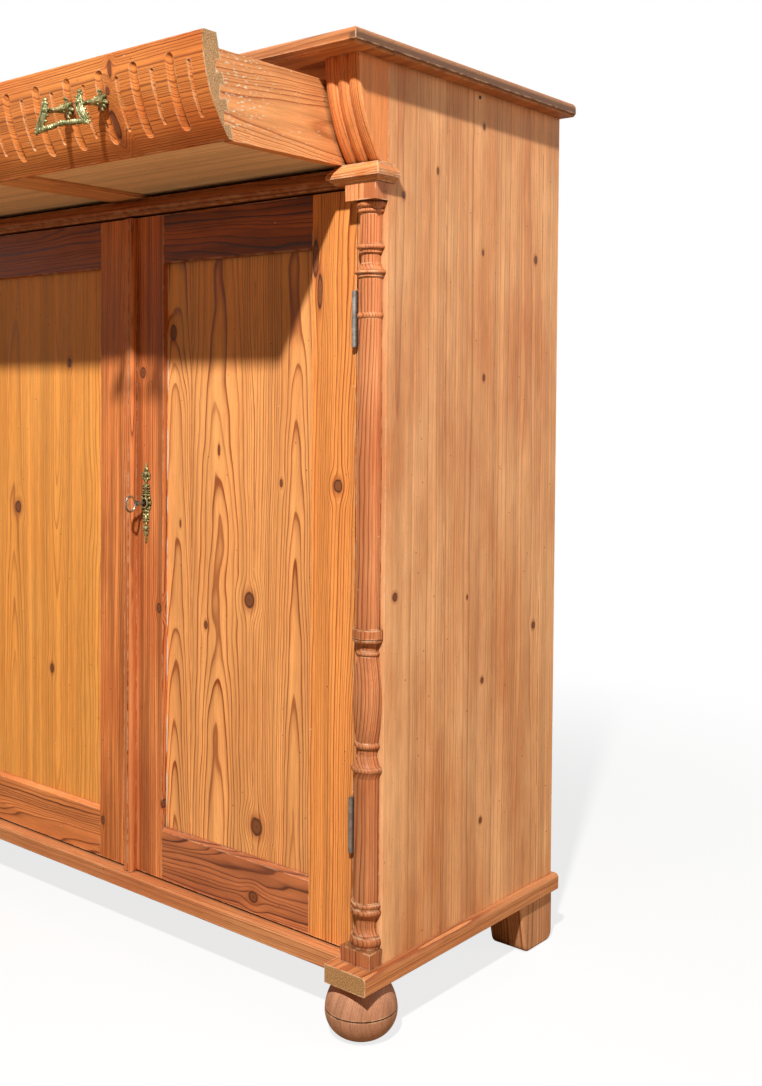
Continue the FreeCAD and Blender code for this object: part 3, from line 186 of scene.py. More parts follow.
def waxedPine(name, **changes):
    look = {**pineLook, **changes}
    axes, seed = look["axes"], look["seed"]
    finish, add = newFinish(name)
    coords = add("TexCoord")
    place = add("VectorMath SCALE", {0: coords.outputs["Object"], 3: 1000.0})
    parts = add("SeparateXYZ", {0: place})
    along, across, depth = (parts.outputs["XYZ".index(letter)] for letter in axes)

    # slow sway of the whole figure
    sway, swayLong, swayWide = look["bend"]
    slow = add("VectorMath MULTIPLY_ADD", {0: place, 1: perMm(axes, swayLong, swayWide),
                                           2: (seed, seed * 2, seed * 3)})
    slowNoise = add("TexNoise", {"Vector": slow, "Scale": 1.0, "Detail": 2.0, "Roughness": 0.45})
    centred = add("VectorMath SUBTRACT", {0: slowNoise.outputs["Color"], 1: (0.5, 0.5, 0.5)})
    swayed = add("SeparateXYZ", {0: centred})
    # close wobble of each line
    wobbleLong, wobbleWide, wobbleFar = look["wobble"]
    close = add("VectorMath MULTIPLY", {0: place, 1: perMm(axes, wobbleLong, wobbleWide)})
    closeNoise = add("TexNoise", {"Vector": close, "Scale": 1.0, "Detail": 2.0})
    wobble = add("Math MULTIPLY_ADD", {0: closeNoise, 1: wobbleFar, 2: -wobbleFar / 2})

    # knots: nearest knot in radii, and how far each pushes the lines aside
    nearest = None
    for knotAcross, knotAlong, radius, stretch in look["knots"]:
        shape = onAxes(axes, 1 / (radius * stretch), 1 / radius, 0.0)
        centre = onAxes(axes, knotAlong / (radius * stretch), knotAcross / radius, 0.0)
        flat = add("VectorMath MULTIPLY", {0: place, 1: shape})
        away = add("VectorMath DISTANCE", {0: flat, 1: centre}).outputs["Value"]
        push = add("MapRange", {"Value": away, "From": look["knotPush"], "To": (look["pushShare"], 0.0)},
                   interpolation_type="SMOOTHSTEP")
        toKnot = add("Math SUBTRACT", {0: knotAcross, 1: across})
        across = add("Math MULTIPLY_ADD", {0: toKnot, 1: push, 2: across})
        nearest = away if nearest is None else add("Math MINIMUM", {0: nearest, 1: away})
    if look["pinKnots"]:
        cell = look["pinKnots"]
        spread = add("VectorMath MULTIPLY_ADD", {0: place, 1: perMm(axes, cell * 1.6, cell),
                                                 2: (seed + 3.3, seed, seed + 1.7)})
        pins = add("TexVoronoi", {"Vector": spread, "Scale": 1.0})
        pinAway = add("Math MULTIPLY", {0: pins.outputs["Distance"], 1: cell / 9.0})
        nearest = pinAway if nearest is None else add("Math MINIMUM", {0: nearest, 1: pinAway})

    # which glued board this point is in
    edges, boards = look["edges"], look["boards"]
    if len(boards) > 1:
        low, high = edges[0], edges[-1]
        share = add("MapRange", {"Value": parts.outputs["XYZ".index(axes[1])], "From": (low, high)})
        # a board's numbers ride in one colour: centre within 1000 mm, depth within 500 mm, tilt within 0.5
        encoded = [((edge - low) / (high - low), ((heart + 1000) / 2000, (back + 500) / 1000, slope + 0.5, 1.0))
                   for edge, (heart, back, slope, tone) in zip(edges, boards)]
        ramp = add("ValToRGB", {0: share}, stops=encoded)
        ramp.color_ramp.interpolation = "CONSTANT"
        values = add("SeparateColor", {0: ramp})
        centre = add("Math MULTIPLY_ADD", {0: values.outputs[0], 1: 2000.0, 2: -1000.0})
        behind = add("Math MULTIPLY_ADD", {0: values.outputs[1], 1: 1000.0, 2: -500.0})
        tilt = add("Math SUBTRACT", {0: values.outputs[2], 1: 0.5})
        tones = add("ValToRGB", {0: share}, stops=[(stop[0], grey(board[3])) for stop, board in zip(encoded, boards)])
        tones.color_ramp.interpolation = "CONSTANT"
    else:
        centre, behind, tilt, tones = boards[0]

    # distance from the heart of the tree, which the tilt makes into nested arches on the face
    aside = add("Math SUBTRACT", {0: across, 1: centre})
    aside = add("Math MULTIPLY_ADD", {0: swayed.outputs[0], 1: sway * 2, 2: aside})
    aside = add("Math ADD", {0: aside, 1: wobble})
    deep = add("Math SUBTRACT", {0: depth, 1: behind})
    deep = add("Math MULTIPLY_ADD", {0: swayed.outputs[1], 1: sway * 3.2, 2: deep})
    rise = add("Math MULTIPLY", {0: along, 1: tilt})
    deep = add("Math SUBTRACT", {0: deep, 1: rise})
    pair = add("CombineXYZ", {0: aside, 1: deep})
    radiusMm = add("VectorMath LENGTH", {0: pair}).outputs["Value"]
    uneven = add("Math MULTIPLY_ADD", {0: radiusMm, 1: 1 / (look["ring"] * 5), 2: seed})
    unevenNoise = add("TexNoise", {"W": uneven, "Scale": 1.0, "Detail": 1.0}, noise_dimensions="1D")
    ringCount = add("Math MULTIPLY", {0: radiusMm, 1: 1 / look["ring"]})
    ringCount = add("Math MULTIPLY_ADD", {0: unevenNoise, 1: 4.0, 2: ringCount})
    phase = add("Math FRACT", {0: ringCount})
    winter = add("ValToRGB", {0: phase}, stops=[(stop, grey(level)) for stop, level in look["ringTones"]])
    whole = add("Math FLOOR", {0: ringCount})
    yearly = add("TexWhiteNoise", {"W": whole}, noise_dimensions="1D")
    yearly = add("MapRange", {"Value": yearly.outputs["Value"], "To": (0.5, 1.0)})
    winter = add("Math MULTIPLY", {0: winter, 1: yearly})

    fine = add("VectorMath MULTIPLY", {0: place, 1: perMm(axes, *look["fibreSize"])})
    fibre = add("TexNoise", {"Vector": fine, "Scale": 1.0, "Detail": 3.0, "Roughness": 0.6})
    flecks = add("VectorMath MULTIPLY", {0: place, 1: perMm(axes, *look["fleckSize"])})
    flecks = add("TexNoise", {"Vector": flecks, "Scale": 1.0, "Detail": 1.0})
    flecks = add("MapRange", {"Value": flecks, "From": look["fleckFrom"], "To Max": look["fleckShare"]})
    cloud = add("VectorMath MULTIPLY_ADD", {0: place, 1: perMm(axes, *look["cloud"]), 2: (seed * 5, seed, seed)})
    cloud = add("TexNoise", {"Vector": cloud, "Scale": 1.0, "Detail": 3.0, "Roughness": 0.55})
    cloud = add("MapRange", {"Value": cloud, "From": (0.32, 0.68), "To Max": look["warmth"]})

    shade = add("Mix RGBA", {0: cloud, 6: look["pale"], 7: look["warm"]})
    lines = add("Math MULTIPLY", {0: winter, 1: look["lines"]})
    shade = add("Mix RGBA", {0: lines, 6: shade.outputs[2], 7: look["dark"]})
    streak = add("MapRange", {"Value": fibre, "From": (0.3, 0.7), "To": look["fibre"]})
    bandLong, bandWide, bandDepth = look["band"]
    band = add("VectorMath MULTIPLY_ADD", {0: place, 1: perMm(axes, bandLong, bandWide),
                                           2: (seed, seed * 4, seed * 7)})
    band = add("TexNoise", {"Vector": band, "Scale": 1.0, "Detail": 2.0})
    band = add("MapRange", {"Value": band, "From": (0.38, 0.62), "To": (1.0 - bandDepth, 1.0 + bandDepth / 2)})
    streak = add("Math MULTIPLY", {0: streak, 1: band})
    streak = add("Math MULTIPLY", {0: streak, 1: tones})
    if look["fade"]:
        lowest, highest, lowTone, highTone = look["fade"]
        fade = add("MapRange", {"Value": parts.outputs[2], "From": (lowest, highest), "To": (lowTone, highTone)})
        streak = add("Math MULTIPLY", {0: streak, 1: fade})
    shade = add("VectorMath SCALE", {0: shade.outputs[2], 3: streak})
    shade = add("Mix RGBA", {0: flecks, 6: shade, 7: look["fleck"]}).outputs[2]

    broken = add("MapRange", {"Value": closeNoise, "From": (0.42, 0.52)})
    for seamAcross, seamColour, halfWide in look["seams"]:
        off = add("Math SUBTRACT", {0: parts.outputs["XYZ".index(axes[1])], 1: seamAcross})
        off = add("Math ABSOLUTE", {0: off})
        seam = add("MapRange", {"Value": off, "From": (halfWide * 0.6, halfWide), "To": (0.9, 0.0)})
        seam = add("Math MULTIPLY", {0: seam, 1: broken})
        shade = add("Mix RGBA", {0: seam, 6: shade, 7: seamColour}).outputs[2]
    if look["filler"]:
        start, end, amount = look["filler"]
        nearEnd = add("MapRange", {"Value": along, "From": (start, end), "To": (amount, 0.0)})
        chips = add("VectorMath MULTIPLY", {0: place, 1: perMm(axes, *look["chipSize"])})
        chips = add("TexNoise", {"Vector": chips, "Scale": 1.0, "Detail": 1.0})
        chips = add("Math ADD", {0: nearEnd, 1: chips})
        chips = add("MapRange", {"Value": chips, "From": look["chipFrom"], "To Max": look["chipShare"]})
        shade = add("Mix RGBA", {0: chips, 6: shade, 7: look["chip"]}).outputs[2]

    # specks of old dirt and wax
    specks = add("TexVoronoi", {"Vector": place, "Scale": 1 / look["speckSpacing"]})
    speck = add("MapRange", {"Value": specks.outputs["Distance"], "From": look["speckEdge"],
                             "To": (look["speckShare"], 0.0)})
    speckHue = add("SeparateColor", {0: specks.outputs["Color"]})
    speckColour = add("ValToRGB", {0: speckHue}, stops=[(0.0, look["specks"][0]), (0.72, look["specks"][1])])
    speckColour.color_ramp.interpolation = "CONSTANT"
    shade = add("Mix RGBA", {0: speck, 6: shade, 7: speckColour}).outputs[2]

    # end grain drinks more wax and soot
    normals = add("SeparateXYZ", {0: coords.outputs["Normal"]})
    facing = add("Math ABSOLUTE", {0: normals.outputs["XYZ".index(axes[0])]})
    endMask = add("MapRange", {"Value": facing, "From": (0.6, 0.9), "To Max": look["endShare"]})
    cut = add("TexNoise", {"Vector": place, "Scale": look["cutScale"], "Detail": 2.0})
    cut = add("MapRange", {"Value": cut, "From": (0.38, 0.62), "To": look["cutTones"]})
    endTone = add("VectorMath SCALE", {0: toLinear(look["endGrain"])[:3], 3: cut})
    shade = add("Mix RGBA", {0: endMask, 6: shade, 7: endTone}).outputs[2]
    # a grey-brown band on the moulded ends: weathering plus painted shade under the rounded nose
    if look["weatheredShadeBand"]:
        (lowest, highest, outermost), (below, above, beside) = look["weatheredShadeBand"], look["weatheredShadeEdges"]
        rising = add("MapRange", {"Value": parts.outputs[2], "From": (lowest, lowest + below)})
        falling = add("MapRange", {"Value": parts.outputs[2], "From": (highest, highest - above)})
        sideways = add("Math ABSOLUTE", {0: parts.outputs[0]})
        sideways = add("MapRange", {"Value": sideways, "From": (outermost, outermost + beside), "To Max": 0.9})
        inBand = add("Math MULTIPLY", {0: rising, 1: falling})
        inBand = add("Math MULTIPLY", {0: inBand, 1: sideways})
        inBand = add("Math MULTIPLY", {0: inBand, 1: cut})
        shade = add("Mix RGBA", {0: inBand, 6: shade, 7: look["weatheredShadeTone"]}).outputs[2]

    lineHeight, fibreHeight, knotHeight = look["heights"]
    height = add("Math MULTIPLY", {0: winter, 1: lineHeight})
    height = add("Math MULTIPLY_ADD", {0: fibre, 1: fibreHeight, 2: height})
    if nearest is not None:
        ragged = add("Math MULTIPLY_ADD", {0: closeNoise, 1: look["knotRagged"], 2: -look["knotRagged"] / 2})
        knotAway = add("Math ADD", {0: nearest, 1: ragged})
        halo = add("MapRange", {"Value": knotAway, "From": look["haloEdge"], "To": (look["haloShare"], 0.0)})
        shade = add("Mix RGBA", {0: halo, 6: shade, 7: look["halo"]}).outputs[2]
        spread = add("Math MULTIPLY", {0: knotAway, 1: 0.55})
        knotColour = add("ValToRGB", {0: spread}, stops=[
            (0.0, look["knotRim"]), (0.1, look["knotCore"]), (0.24, look["knotRings"][0]), (0.32, look["knotCore"]),
            (0.42, look["knotRings"][1]), (0.52, look["knotRim"]), (0.62, look["knotRings"][2])])
        inside = add("MapRange", {"Value": knotAway, "From": look["knotEdge"], "To": (look["knotShare"], 0.0)})
        shade = add("Mix RGBA", {0: inside, 6: shade, 7: knotColour}).outputs[2]
        height = add("Math MULTIPLY_ADD", {0: inside, 1: knotHeight, 2: height})

    # arrises paler by wear and a painted highlight, corners darker by grime and painted shade
    rounded = add("Bevel", {"Radius": look["arris"] / 1000}, samples=4)
    geometry = add("NewGeometry")
    turned = add("VectorMath DOT_PRODUCT", {0: rounded, 1: geometry.outputs["Normal"]}).outputs["Value"]
    paleEdge = add("MapRange", {"Value": turned, "From": look["turn"], "To Max": look["wearAndHighlight"]})
    patchy = add("TexNoise", {"Vector": place, "Scale": look["patchScale"], "Detail": 3.0})
    patchy = add("MapRange", {"Value": patchy, "From": (0.42, 0.6)})
    paleEdge = add("Math MULTIPLY", {0: paleEdge, 1: patchy})
    shade = add("Mix RGBA", {0: paleEdge, 6: shade, 7: look["worn"]}).outputs[2]
    # corners and hollows darkened by how hidden they are: grime plus painted shade
    hollow = add("AmbientOcclusion", {"Distance": look["corner"] / 1000}, samples=4)
    grimeAndShade = add("MapRange", {"Value": hollow.outputs["AO"], "From": look["open"], "To Max": look["grimeAndShade"]})
    shade = add("Mix RGBA", {0: grimeAndShade, 6: shade, 7: look["grimeShadeTone"]}).outputs[2]

    gloss = add("MapRange", {"Value": winter, "To": look["sheen"]})
    bump = add("Bump", {"Height": height, "Strength": 0.5, "Distance": look["relief"] / 1000})
    surface = add("BsdfPrincipled", {
        "Base Color": shade, "Roughness": gloss, "IOR": 1.5, "Specular IOR Level": 0.2, "Normal": bump})
    add("OutputMaterial", {"Surface": surface})
    return finish


def dress(finish, *names):
    for name in names:
        piece = nodes[name]
        if not piece.material_slots:
            piece.data.materials.append(None)
        for slot in piece.material_slots:
            slot.material = finish


railWood = {"axes": "XZY", "bend": (6.0, 180.0, 40.0)}
doorLooks = {
    "right_panel": {
        "edges": [78, 132, 262, 378],
        "boards": [(98, -48, 0.045, 1.0), (188, -14, 0.03, 0.98), (341, -60, -0.03, 1.0),
            (341, -60, -0.03, 1.0)],
        "bend": (5.0, 210.0, 60.0), "ring": 4.0,
        "seams": [(79.6, "#f0e2ca", 1.6), (132, "#a8602f", 0.7), (262, "#9a552b", 0.7)],
        "knots": [(92, 922, 6.5, 1.7), (190, 751, 2.5, 3), (253, 542, 9, 1.2), (164, 496, 3.5, 1.6),
            (270, 224, 10, 1.2), (314, 710, 2.8, 1.9), (108, 640, 1.8, 3)],
        "pale": "#ffb26a", "dark": "#96461f", "warm": "#ec9050", "seed": 1.3,
    },
    "left_panel": {
        "edges": [-378, -250, -130, -68],
        "boards": [(-310, -30, 0.02, 1.0), (-190, -20, -0.015, 0.97), (-20, -300, 0.0, 0.98),
            (-20, -300, 0.0, 1.0)],
        "lines": 0.6,
        "knots": [(-160, 880, 5, 1.5), (-300, 640, 8, 1.3), (-205, 380, 5, 1.4), (-90, 150, 5, 1.4)],
        "pale": "#ffae56", "dark": "#a04c1c", "warm": "#fb9840", "seed": 4.1,
    },
    "right_hinge_stile": {
        "boards": [(474, -70, 0.05, 1.0)], "ring": 4.0, "bend": (7.0, 260.0, 60.0), "knotCore": "#8d5632",
        "knots": [(425, 712, 7, 1.2), (383, 1012, 5, 5), (391, 968, 4.5, 5)], "pale": "#fba457",
        "dark": "#a04a20", "warm": "#e58541", "seed": 2.2,
    },
    "right_closing_stile": {
        "boards": [(-30, -20, 0.02, 0.97)], "ring": 3.4,
        "knots": [(70, 511, 5, 1.5), (32, 863, 6, 1.3), (80, 217, 4, 1.6)], "band": (500.0, 10.0, 0.34),
        "pale": "#ee9254", "dark": "#7c3216", "warm": "#be5a2a", "warmth": 0.7, "seed": 3.7,
    },
    "left_closing_stile": {
        "boards": [(60, -10, 0.03, 0.97)], "ring": 3.2, "band": (400.0, 11.0, 0.34), "pale": "#f39552",
        "dark": "#8a3d1a", "warm": "#c86430", "warmth": 0.6, "seed": 5.2, "knots": [(-62, 162, 4, 1.6)],
    },
    "left_hinge_stile": {
        "boards": [(-520, 0, 0.02, 1.0)], "ring": 4.0, "knots": [(-410, 560, 5, 1.3)], "pale": "#f5a25e",
        "dark": "#954a23", "warm": "#d9793c", "seed": 6.4,
    },
    # darker than the pine alone: partly the rail's own dark red, partly painted shade for the drawer's shadow lying
    # on it
    "right_top_rail": {
        **railWood, "boards": [(1010, -34, 0.05, 0.78)], "ring": 6.0, "pale": "#c56a34", "dark": "#4e1e0f",
        "warm": "#8c4020", "warmth": 0.8, "band": (200.0, 26.0, 0.4), "seed": 7.1,
    },
    "right_bottom_rail": {
        **railWood, "boards": [(175, -44, 0.06, 0.92)], "ring": 5.0, "knots": [(127, 272, 8, 1.1)],
        "pale": "#da8350", "dark": "#5d3026", "warm": "#b0633e", "warmth": 0.8, "seed": 8.3,
    },
    # darker than the pine alone: partly the rail's own dark red, partly painted shade for the drawer's shadow lying
    # on it
    "left_top_rail": {
        **railWood, "boards": [(1100, -34, 0.05, 0.78)], "ring": 6.0, "pale": "#c9713c", "dark": "#5a2414",
        "warm": "#9c4b28", "warmth": 0.6, "seed": 9.6,
    },
    "left_bottom_rail": {
        **railWood, "boards": [(100, -40, -0.05, 0.92)], "ring": 5.0, "pale": "#ff9f5a", "dark": "#703522",
        "warm": "#d97a44", "warmth": 0.6, "seed": 10.8,
    },
    "astragal": {
        "boards": [(-20, -60, 0.02, 0.97)], "ring": 2.8, "pale": "#e58b50", "dark": "#883d1e",
        "warm": "#c05e30", "seed": 11.2, "wearAndHighlight": 0.9,
    },
}
for nodeName, look in doorLooks.items():
    dress(waxedPine("waxedPine_" + nodeName, **look), nodeName)
print("doors dressed")

sidePale = {
    "ring": 5.2, "bend": (3.4, 300.0, 60.0), "band": (1000.0, 18.0, 0.14), "pale": "#ffbe84", "dark": "#b5673a",
    "warm": "#d98a54", "warmth": 0.85, "lines": 0.6,
}
columnWood = {
    "pale": "#e99a64", "dark": "#843c1e", "warm": "#c46a3c", "warmth": 0.8, "wearAndHighlight": 0.95, "grimeAndShade": 0.8,
    "fade": (150, 1080, 0.78, 1.14),
}
bracketWood = {
    "axes": "ZYX", "ring": 3.6, "pale": "#f39a5a", "dark": "#a04c24", "warm": "#d9763a", "warmth": 0.6,
    "wearAndHighlight": 0.85, "grimeAndShade": 0.7,
}
baseWood = {
    "ring": 2.8, "pale": "#eca168", "dark": "#9c5029", "warm": "#cc7640", "warmth": 0.6, "endGrain": "#ac8556",
    "endShare": 0.85, "wearAndHighlight": 0.95,
}
bunWood = {
    "ring": 3.2, "lines": 0.4, "pale": "#d99e79", "dark": "#8a5138", "warm": "#b57a58", "warmth": 0.8,
    "wearAndHighlight": 0.8, "grimeAndShade": 0.9, "endGrain": "#8a6144",
}
carcassLooks = {
    "side_panel_right": {
        "axes": "ZYX", "edges": [-64, 60, 178, 300, 344],
        "boards": [(-40, 482, 0.006, 1.0), (-120, 300, 0.0, 0.97), (262, 470, -0.006, 1.0),
            (500, 400, 0.0, 0.97), (500, 400, 0.0, 0.97)],
        "seams": [(60, "#a05f35", 0.7), (178, "#a8673c", 0.7), (300, "#a05f35", 0.7)],
        "knots": [(-32, 1088, 3, 1.6), (40, 1129, 2.4, 1.8), (146, 1205, 3, 1.5), (146, 1031, 2.6, 1.5),
            (282, 1033, 4, 1.3), (151, 857, 3, 1.5), (-44, 572, 4.5, 1.2), (116, 553, 2, 1.6),
            (154, 431, 3.4, 1.3), (286, 491, 4, 1.3), (153, 232, 3.4, 1.3)],
        **sidePale, "seed": 12.9,
    },
    "side_panel_left": {
        "axes": "ZYX", "edges": [-64, 50, 190, 290, 344],
        "boards": [(-20, -478, 0.012, 1.0), (120, -440, -0.01, 1.0), (250, -476, 0.014, 0.98),
            (325, -470, 0.01, 1.0), (325, -470, 0.01, 1.0)],
        "knots": [(20, 980, 3.2, 1.5), (140, 760, 4, 1.4), (250, 1060, 3, 1.5), (90, 420, 4, 1.3),
            (270, 300, 3.2, 1.4)],
        **sidePale, "seed": 14.1,
    },
    "corner_posts": {
        "boards": [(0, 30, 0.01, 0.97)], "ring": 4.4, "pale": "#f0a263", "dark": "#a85d31", "warm": "#cf7a45",
        "seed": 15.5, "pinKnots": 150,
    },
    "column_right": {**columnWood, "boards": [(497, -52, 0.012, 1.0)], "seed": 16.2},
    "column_left": {**columnWood, "boards": [(-470, -50, 0.012, 1.0)], "seed": 17.9},
    "capitals": {
        "axes": "XYZ", "boards": [(-60, 1050, 0.02, 1.0)], "ring": 2.6, "pale": "#ef9f62", "dark": "#93481f",
        "warm": "#cb7038", "endGrain": "#a37350", "endShare": 0.5, "seed": 18.4, "wearAndHighlight": 0.9, "grimeAndShade": 0.8,
    },
    # darker tone: partly the rail's own colour, partly painted shade for the shadow under the drawer
    "drawer_rail": {
        "axes": "XZY", "boards": [(1030, -20, 0.01, 0.85)], "ring": 3.4, "pale": "#d07c45", "dark": "#73341a",
        "warm": "#a5572e", "warmth": 0.6, "seed": 19.3,
    },
    "frieze_bracket_right": {**bracketWood, "boards": [(-100, -900, 0.0, 1.0)], "seed": 20.7},
    "frieze_bracket_left": {**bracketWood, "boards": [(-100, 900, 0.0, 1.0)], "seed": 21.6},
    "top_board": {
        "axes": "XYZ", "edges": [-160, -20, 150, 346], "ring": 3.4, "bend": (4.0, 260.0, 80.0),
        "boards": [(-100, 1190, 0.02, 0.95), (70, 1330, -0.03, 0.95), (240, 1200, 0.03, 0.93),
            (240, 1200, 0.03, 0.93)],
        "pale": "#dd9058", "dark": "#9a5732", "warm": "#b66f48", "warmth": 0.7, "endGrain": "#8d6648",
        "endShare": 0.75, "pinKnots": 190, "seed": 22.8, "wearAndHighlight": 0.9, "weatheredShadeBand": (1252.5, 1264.0, 520.0),
    },
    "base_side_board_right": {**baseWood, "axes": "YXZ", "boards": [(480, 40, 0.01, 0.97)], "seed": 23.4},
    "base_side_board_left": {**baseWood, "axes": "YXZ", "boards": [(-480, 40, 0.01, 0.97)], "seed": 24.5},
    "base_front_board": {
        **baseWood, "axes": "XYZ", "boards": [(-100, 60, 0.01, 0.97)], "dark": "#9a4d28", "warm": "#cc7040",
        "endGrain": "#a3704a", "endShare": 0.6, "seed": 25.1,
    },
    "bun_foot_right": {**bunWood, "boards": [(452, -100, 0.015, 0.95)], "seed": 26.6},
    "bun_foot_left": {**bunWood, "boards": [(-490, -100, 0.015, 0.95)], "seed": 27.3},
    "block_feet": {
        "axes": "ZYX", "boards": [(260, 440, 0.02, 0.9)], "ring": 4.6, "pale": "#f2ad78", "dark": "#9c5c38",
        "warm": "#c98258", "warmth": 0.8, "seed": 28.2, "wearAndHighlight": 0.7,
    },
}
for nodeName, look in carcassLooks.items():
    dress(waxedPine("waxedPine_" + nodeName, **look), nodeName)
print("carcass dressed")

drawerSideWood = {
    "axes": "YZX", "ring": 3.6, "bend": (4.0, 200.0, 60.0), "pale": "#f5a768", "dark": "#ad5c2c",
    "warm": "#d9804a", "filler": (-262, -200, 0.085),
}
drawerLooks = {
    "drawer_front": {
        "axes": "XZY", "boards": [(1290, -250, 0.01, 0.98)], "ring": 2.3, "bend": (2.0, 240.0, 50.0),
        "knots": [(1224, 281, 10, 0.34), (1199, 272, 4.5, 0.8), (1161, 270, 16, 0.42)], "knotCore": "#8a4a2c",
        "knotRim": "#3b1c16", "pale": "#ff9f52", "dark": "#80361a", "warm": "#cf6229", "warmth": 0.7,
        "endGrain": "#a9926a", "endShare": 0.75, "seed": 29.9, "wearAndHighlight": 0.9, "grimeAndShade": 0.7,
    },
    "drawer_side_right": {**drawerSideWood, "boards": [(1165, 415, 0.05, 1.0)], "seed": 30.8},
    "drawer_side_left": {**drawerSideWood, "boards": [(1165, -415, -0.05, 1.0)], "seed": 31.7},
    "drawer_back": {
        "axes": "XZY", "boards": [(1165, 60, 0.02, 1.0)], "pale": "#f2b47c", "dark": "#bd7a48",
        "warm": "#dd9560", "seed": 32.1,
    },
    "drawer_muntin": {
        "axes": "YXZ", "boards": [(30, 1100, 0.02, 1.0)], "pale": "#f0b07a", "dark": "#bd7a48",
        "warm": "#dd9560", "seed": 33.5,
    },
    # pale colours raised past the wood's own: partly pale wood, partly painted light standing in for light thrown up
    # from the floor
    "drawer_bottoms": {
        "axes": "XYZ", "boards": [(-60, 1100, 0.02, 1.0)], "ring": 3.2, "pinKnots": 170, "pale": "#ffe0b8",
        "dark": "#d3a274", "warm": "#f4c898", "seed": 34.4,
    },
}
for nodeName, look in drawerLooks.items():
    dress(waxedPine("waxedPine_" + nodeName, **look), nodeName)
print("drawer dressed")

# Unwaxed pine inside: the same wood left dry, paler and dull.
insideLooks = {
    "back_boards": {
        "edges": [-500, -300, -100, 100, 300, 500],
        "boards": [(-400, 380, 0.04, 0.97), (-210, 380, -0.04, 1.0), (10, 390, 0.05, 0.95),
            (190, 380, -0.04, 1.0), (400, 380, 0.04, 0.97), (400, 380, 0.04, 0.97)],
        "pinKnots": 160,
    },
    "shelves": {"axes": "XYZ", "boards": [(100, 400, 0.02, 1.0)], "pinKnots": 180},
    "cupboard_floor": {"axes": "XYZ", "boards": [(100, 60, 0.02, 1.0)], "pinKnots": 180},
    "dust_board": {"axes": "XYZ", "boards": [(100, 1060, 0.02, 1.0)], "pinKnots": 180},
    "drawer_runners": {"axes": "YXZ", "boards": [(0, 1100, 0.02, 1.0)]},
    "shelf_cleats": {"axes": "YXZ", "boards": [(0, 300, 0.02, 1.0)]},
    "door_stop": {"axes": "XYZ", "boards": [(0, 1100, 0.02, 1.0)]},
    "base_back_rail": {"axes": "XYZ", "boards": [(300, 40, 0.02, 1.0)]},
}
dryWood = {"pale": "#e5b27e", "dark": "#b0794a", "warm": "#cf9762", "warmth": 0.6, "wearAndHighlight": 0.3}
firstDrySeed, drySeedStep = 40.0, 1.7
for index, (nodeName, look) in enumerate(insideLooks.items()):
    seed = firstDrySeed + drySeedStep * index
    dress(waxedPine("dryPine_" + nodeName, **dryWood, **look, seed=seed), nodeName)
print("inside dressed")


# Cast brass, never lacquered: a dull yellow-green skin in the hollows and rubbed gold on the high places.
brassLook = {
    "metal": "#cfc793",
    "skin": "#6d6d40",
    "skinMetal": 0.4,       # how much metal still shows through the skin
    "hollow": "#2a2712",
    "grain": 1.6,           # pitting of the sand mould, mm, drawn coarse so that it shows
    "roughness": (0.28, 0.62),
    "arris": 1.2,           # how far rubbing reaches over an edge, mm
    "corner": 5.0,          # how far the dirt and painted shade reach out of a corner, mm
    "relief": 0.4,          # depth of the pits, mm
    "turn": (0.995, 0.9),   # how much an edge turns where rubbing starts and is whole
    "rub": 0.45,
    "open": (0.8, 0.25),    # how open a place is where the dirt and painted shade start and are whole
    "dirtAndShade": 0.85,
}


def agedMetal(name, **changes):
    look = {**brassLook, **changes}
    finish, add = newFinish(name)
    coords = add("TexCoord")
    place = add("VectorMath SCALE", {0: coords.outputs["Object"], 3: 1000.0})
    pits = add("TexNoise", {"Vector": place, "Scale": 1 / look["grain"], "Detail": 4.0, "Roughness": 0.6})
    patches = add("TexNoise", {"Vector": place, "Scale": 1 / (look["grain"] * 5), "Detail": 3.0})
    rounded = add("Bevel", {"Radius": look["arris"] / 1000}, samples=4)
    geometry = add("NewGeometry")
    turned = add("VectorMath DOT_PRODUCT", {0: rounded, 1: geometry.outputs["Normal"]}).outputs["Value"]
    paleEdge = add("MapRange", {"Value": turned, "From": look["turn"], "To Max": look["rub"]})
    aged = add("MapRange", {"Value": patches, "From": (0.3, 0.55)})
    aged = add("Math SUBTRACT", {0: aged, 1: paleEdge}, use_clamp=True)
    shade = add("Mix RGBA", {0: aged, 6: look["metal"], 7: look["skin"]}).outputs[2]
    # hollows darkened by how hidden they are: dirt plus painted shade
    hollow = add("AmbientOcclusion", {"Distance": look["corner"] / 1000}, samples=4)
    dirtAndShade = add("MapRange", {"Value": hollow.outputs["AO"], "From": look["open"], "To Max": look["dirtAndShade"]})
    shade = add("Mix RGBA", {0: dirtAndShade, 6: shade, 7: look["hollow"]}).outputs[2]
    gloss = add("MapRange", {"Value": pits, "From": (0.3, 0.7), "To": look["roughness"]})
    bump = add("Bump", {"Height": pits, "Strength": 0.4, "Distance": look["relief"] / 1000})
    bare = add("MapRange", {"Value": aged, "To": (1.0, look["skinMetal"])})
    surface = add("BsdfPrincipled", {"Base Color": shade, "Metallic": bare, "Roughness": gloss, "Normal": bump})
    add("OutputMaterial", {"Surface": surface})
    return finish


agedBrass = agedMetal("agedCastBrass")
oldBrass = agedMetal("oldCastBrass", metal="#c4b67e", skin="#756f42", hollow="#282114")
# Rolled steel, oiled and gone grey: a cool dull metal with a few rubbed streaks.
greySteel = agedMetal("rolledSteel", metal="#b3a9a0", skin="#827870", skinMetal=0.6, hollow="#35302c", grain=2.0,
                      roughness=(0.35, 0.6))
# Forged iron, handled until brown-black: dark with a faint shine at the edges.
darkIron = agedMetal("forgedIron", metal="#6b625a", skin="#3f3833", skinMetal=0.8, hollow="#1d1916", grain=2.0,
                     roughness=(0.38, 0.65))

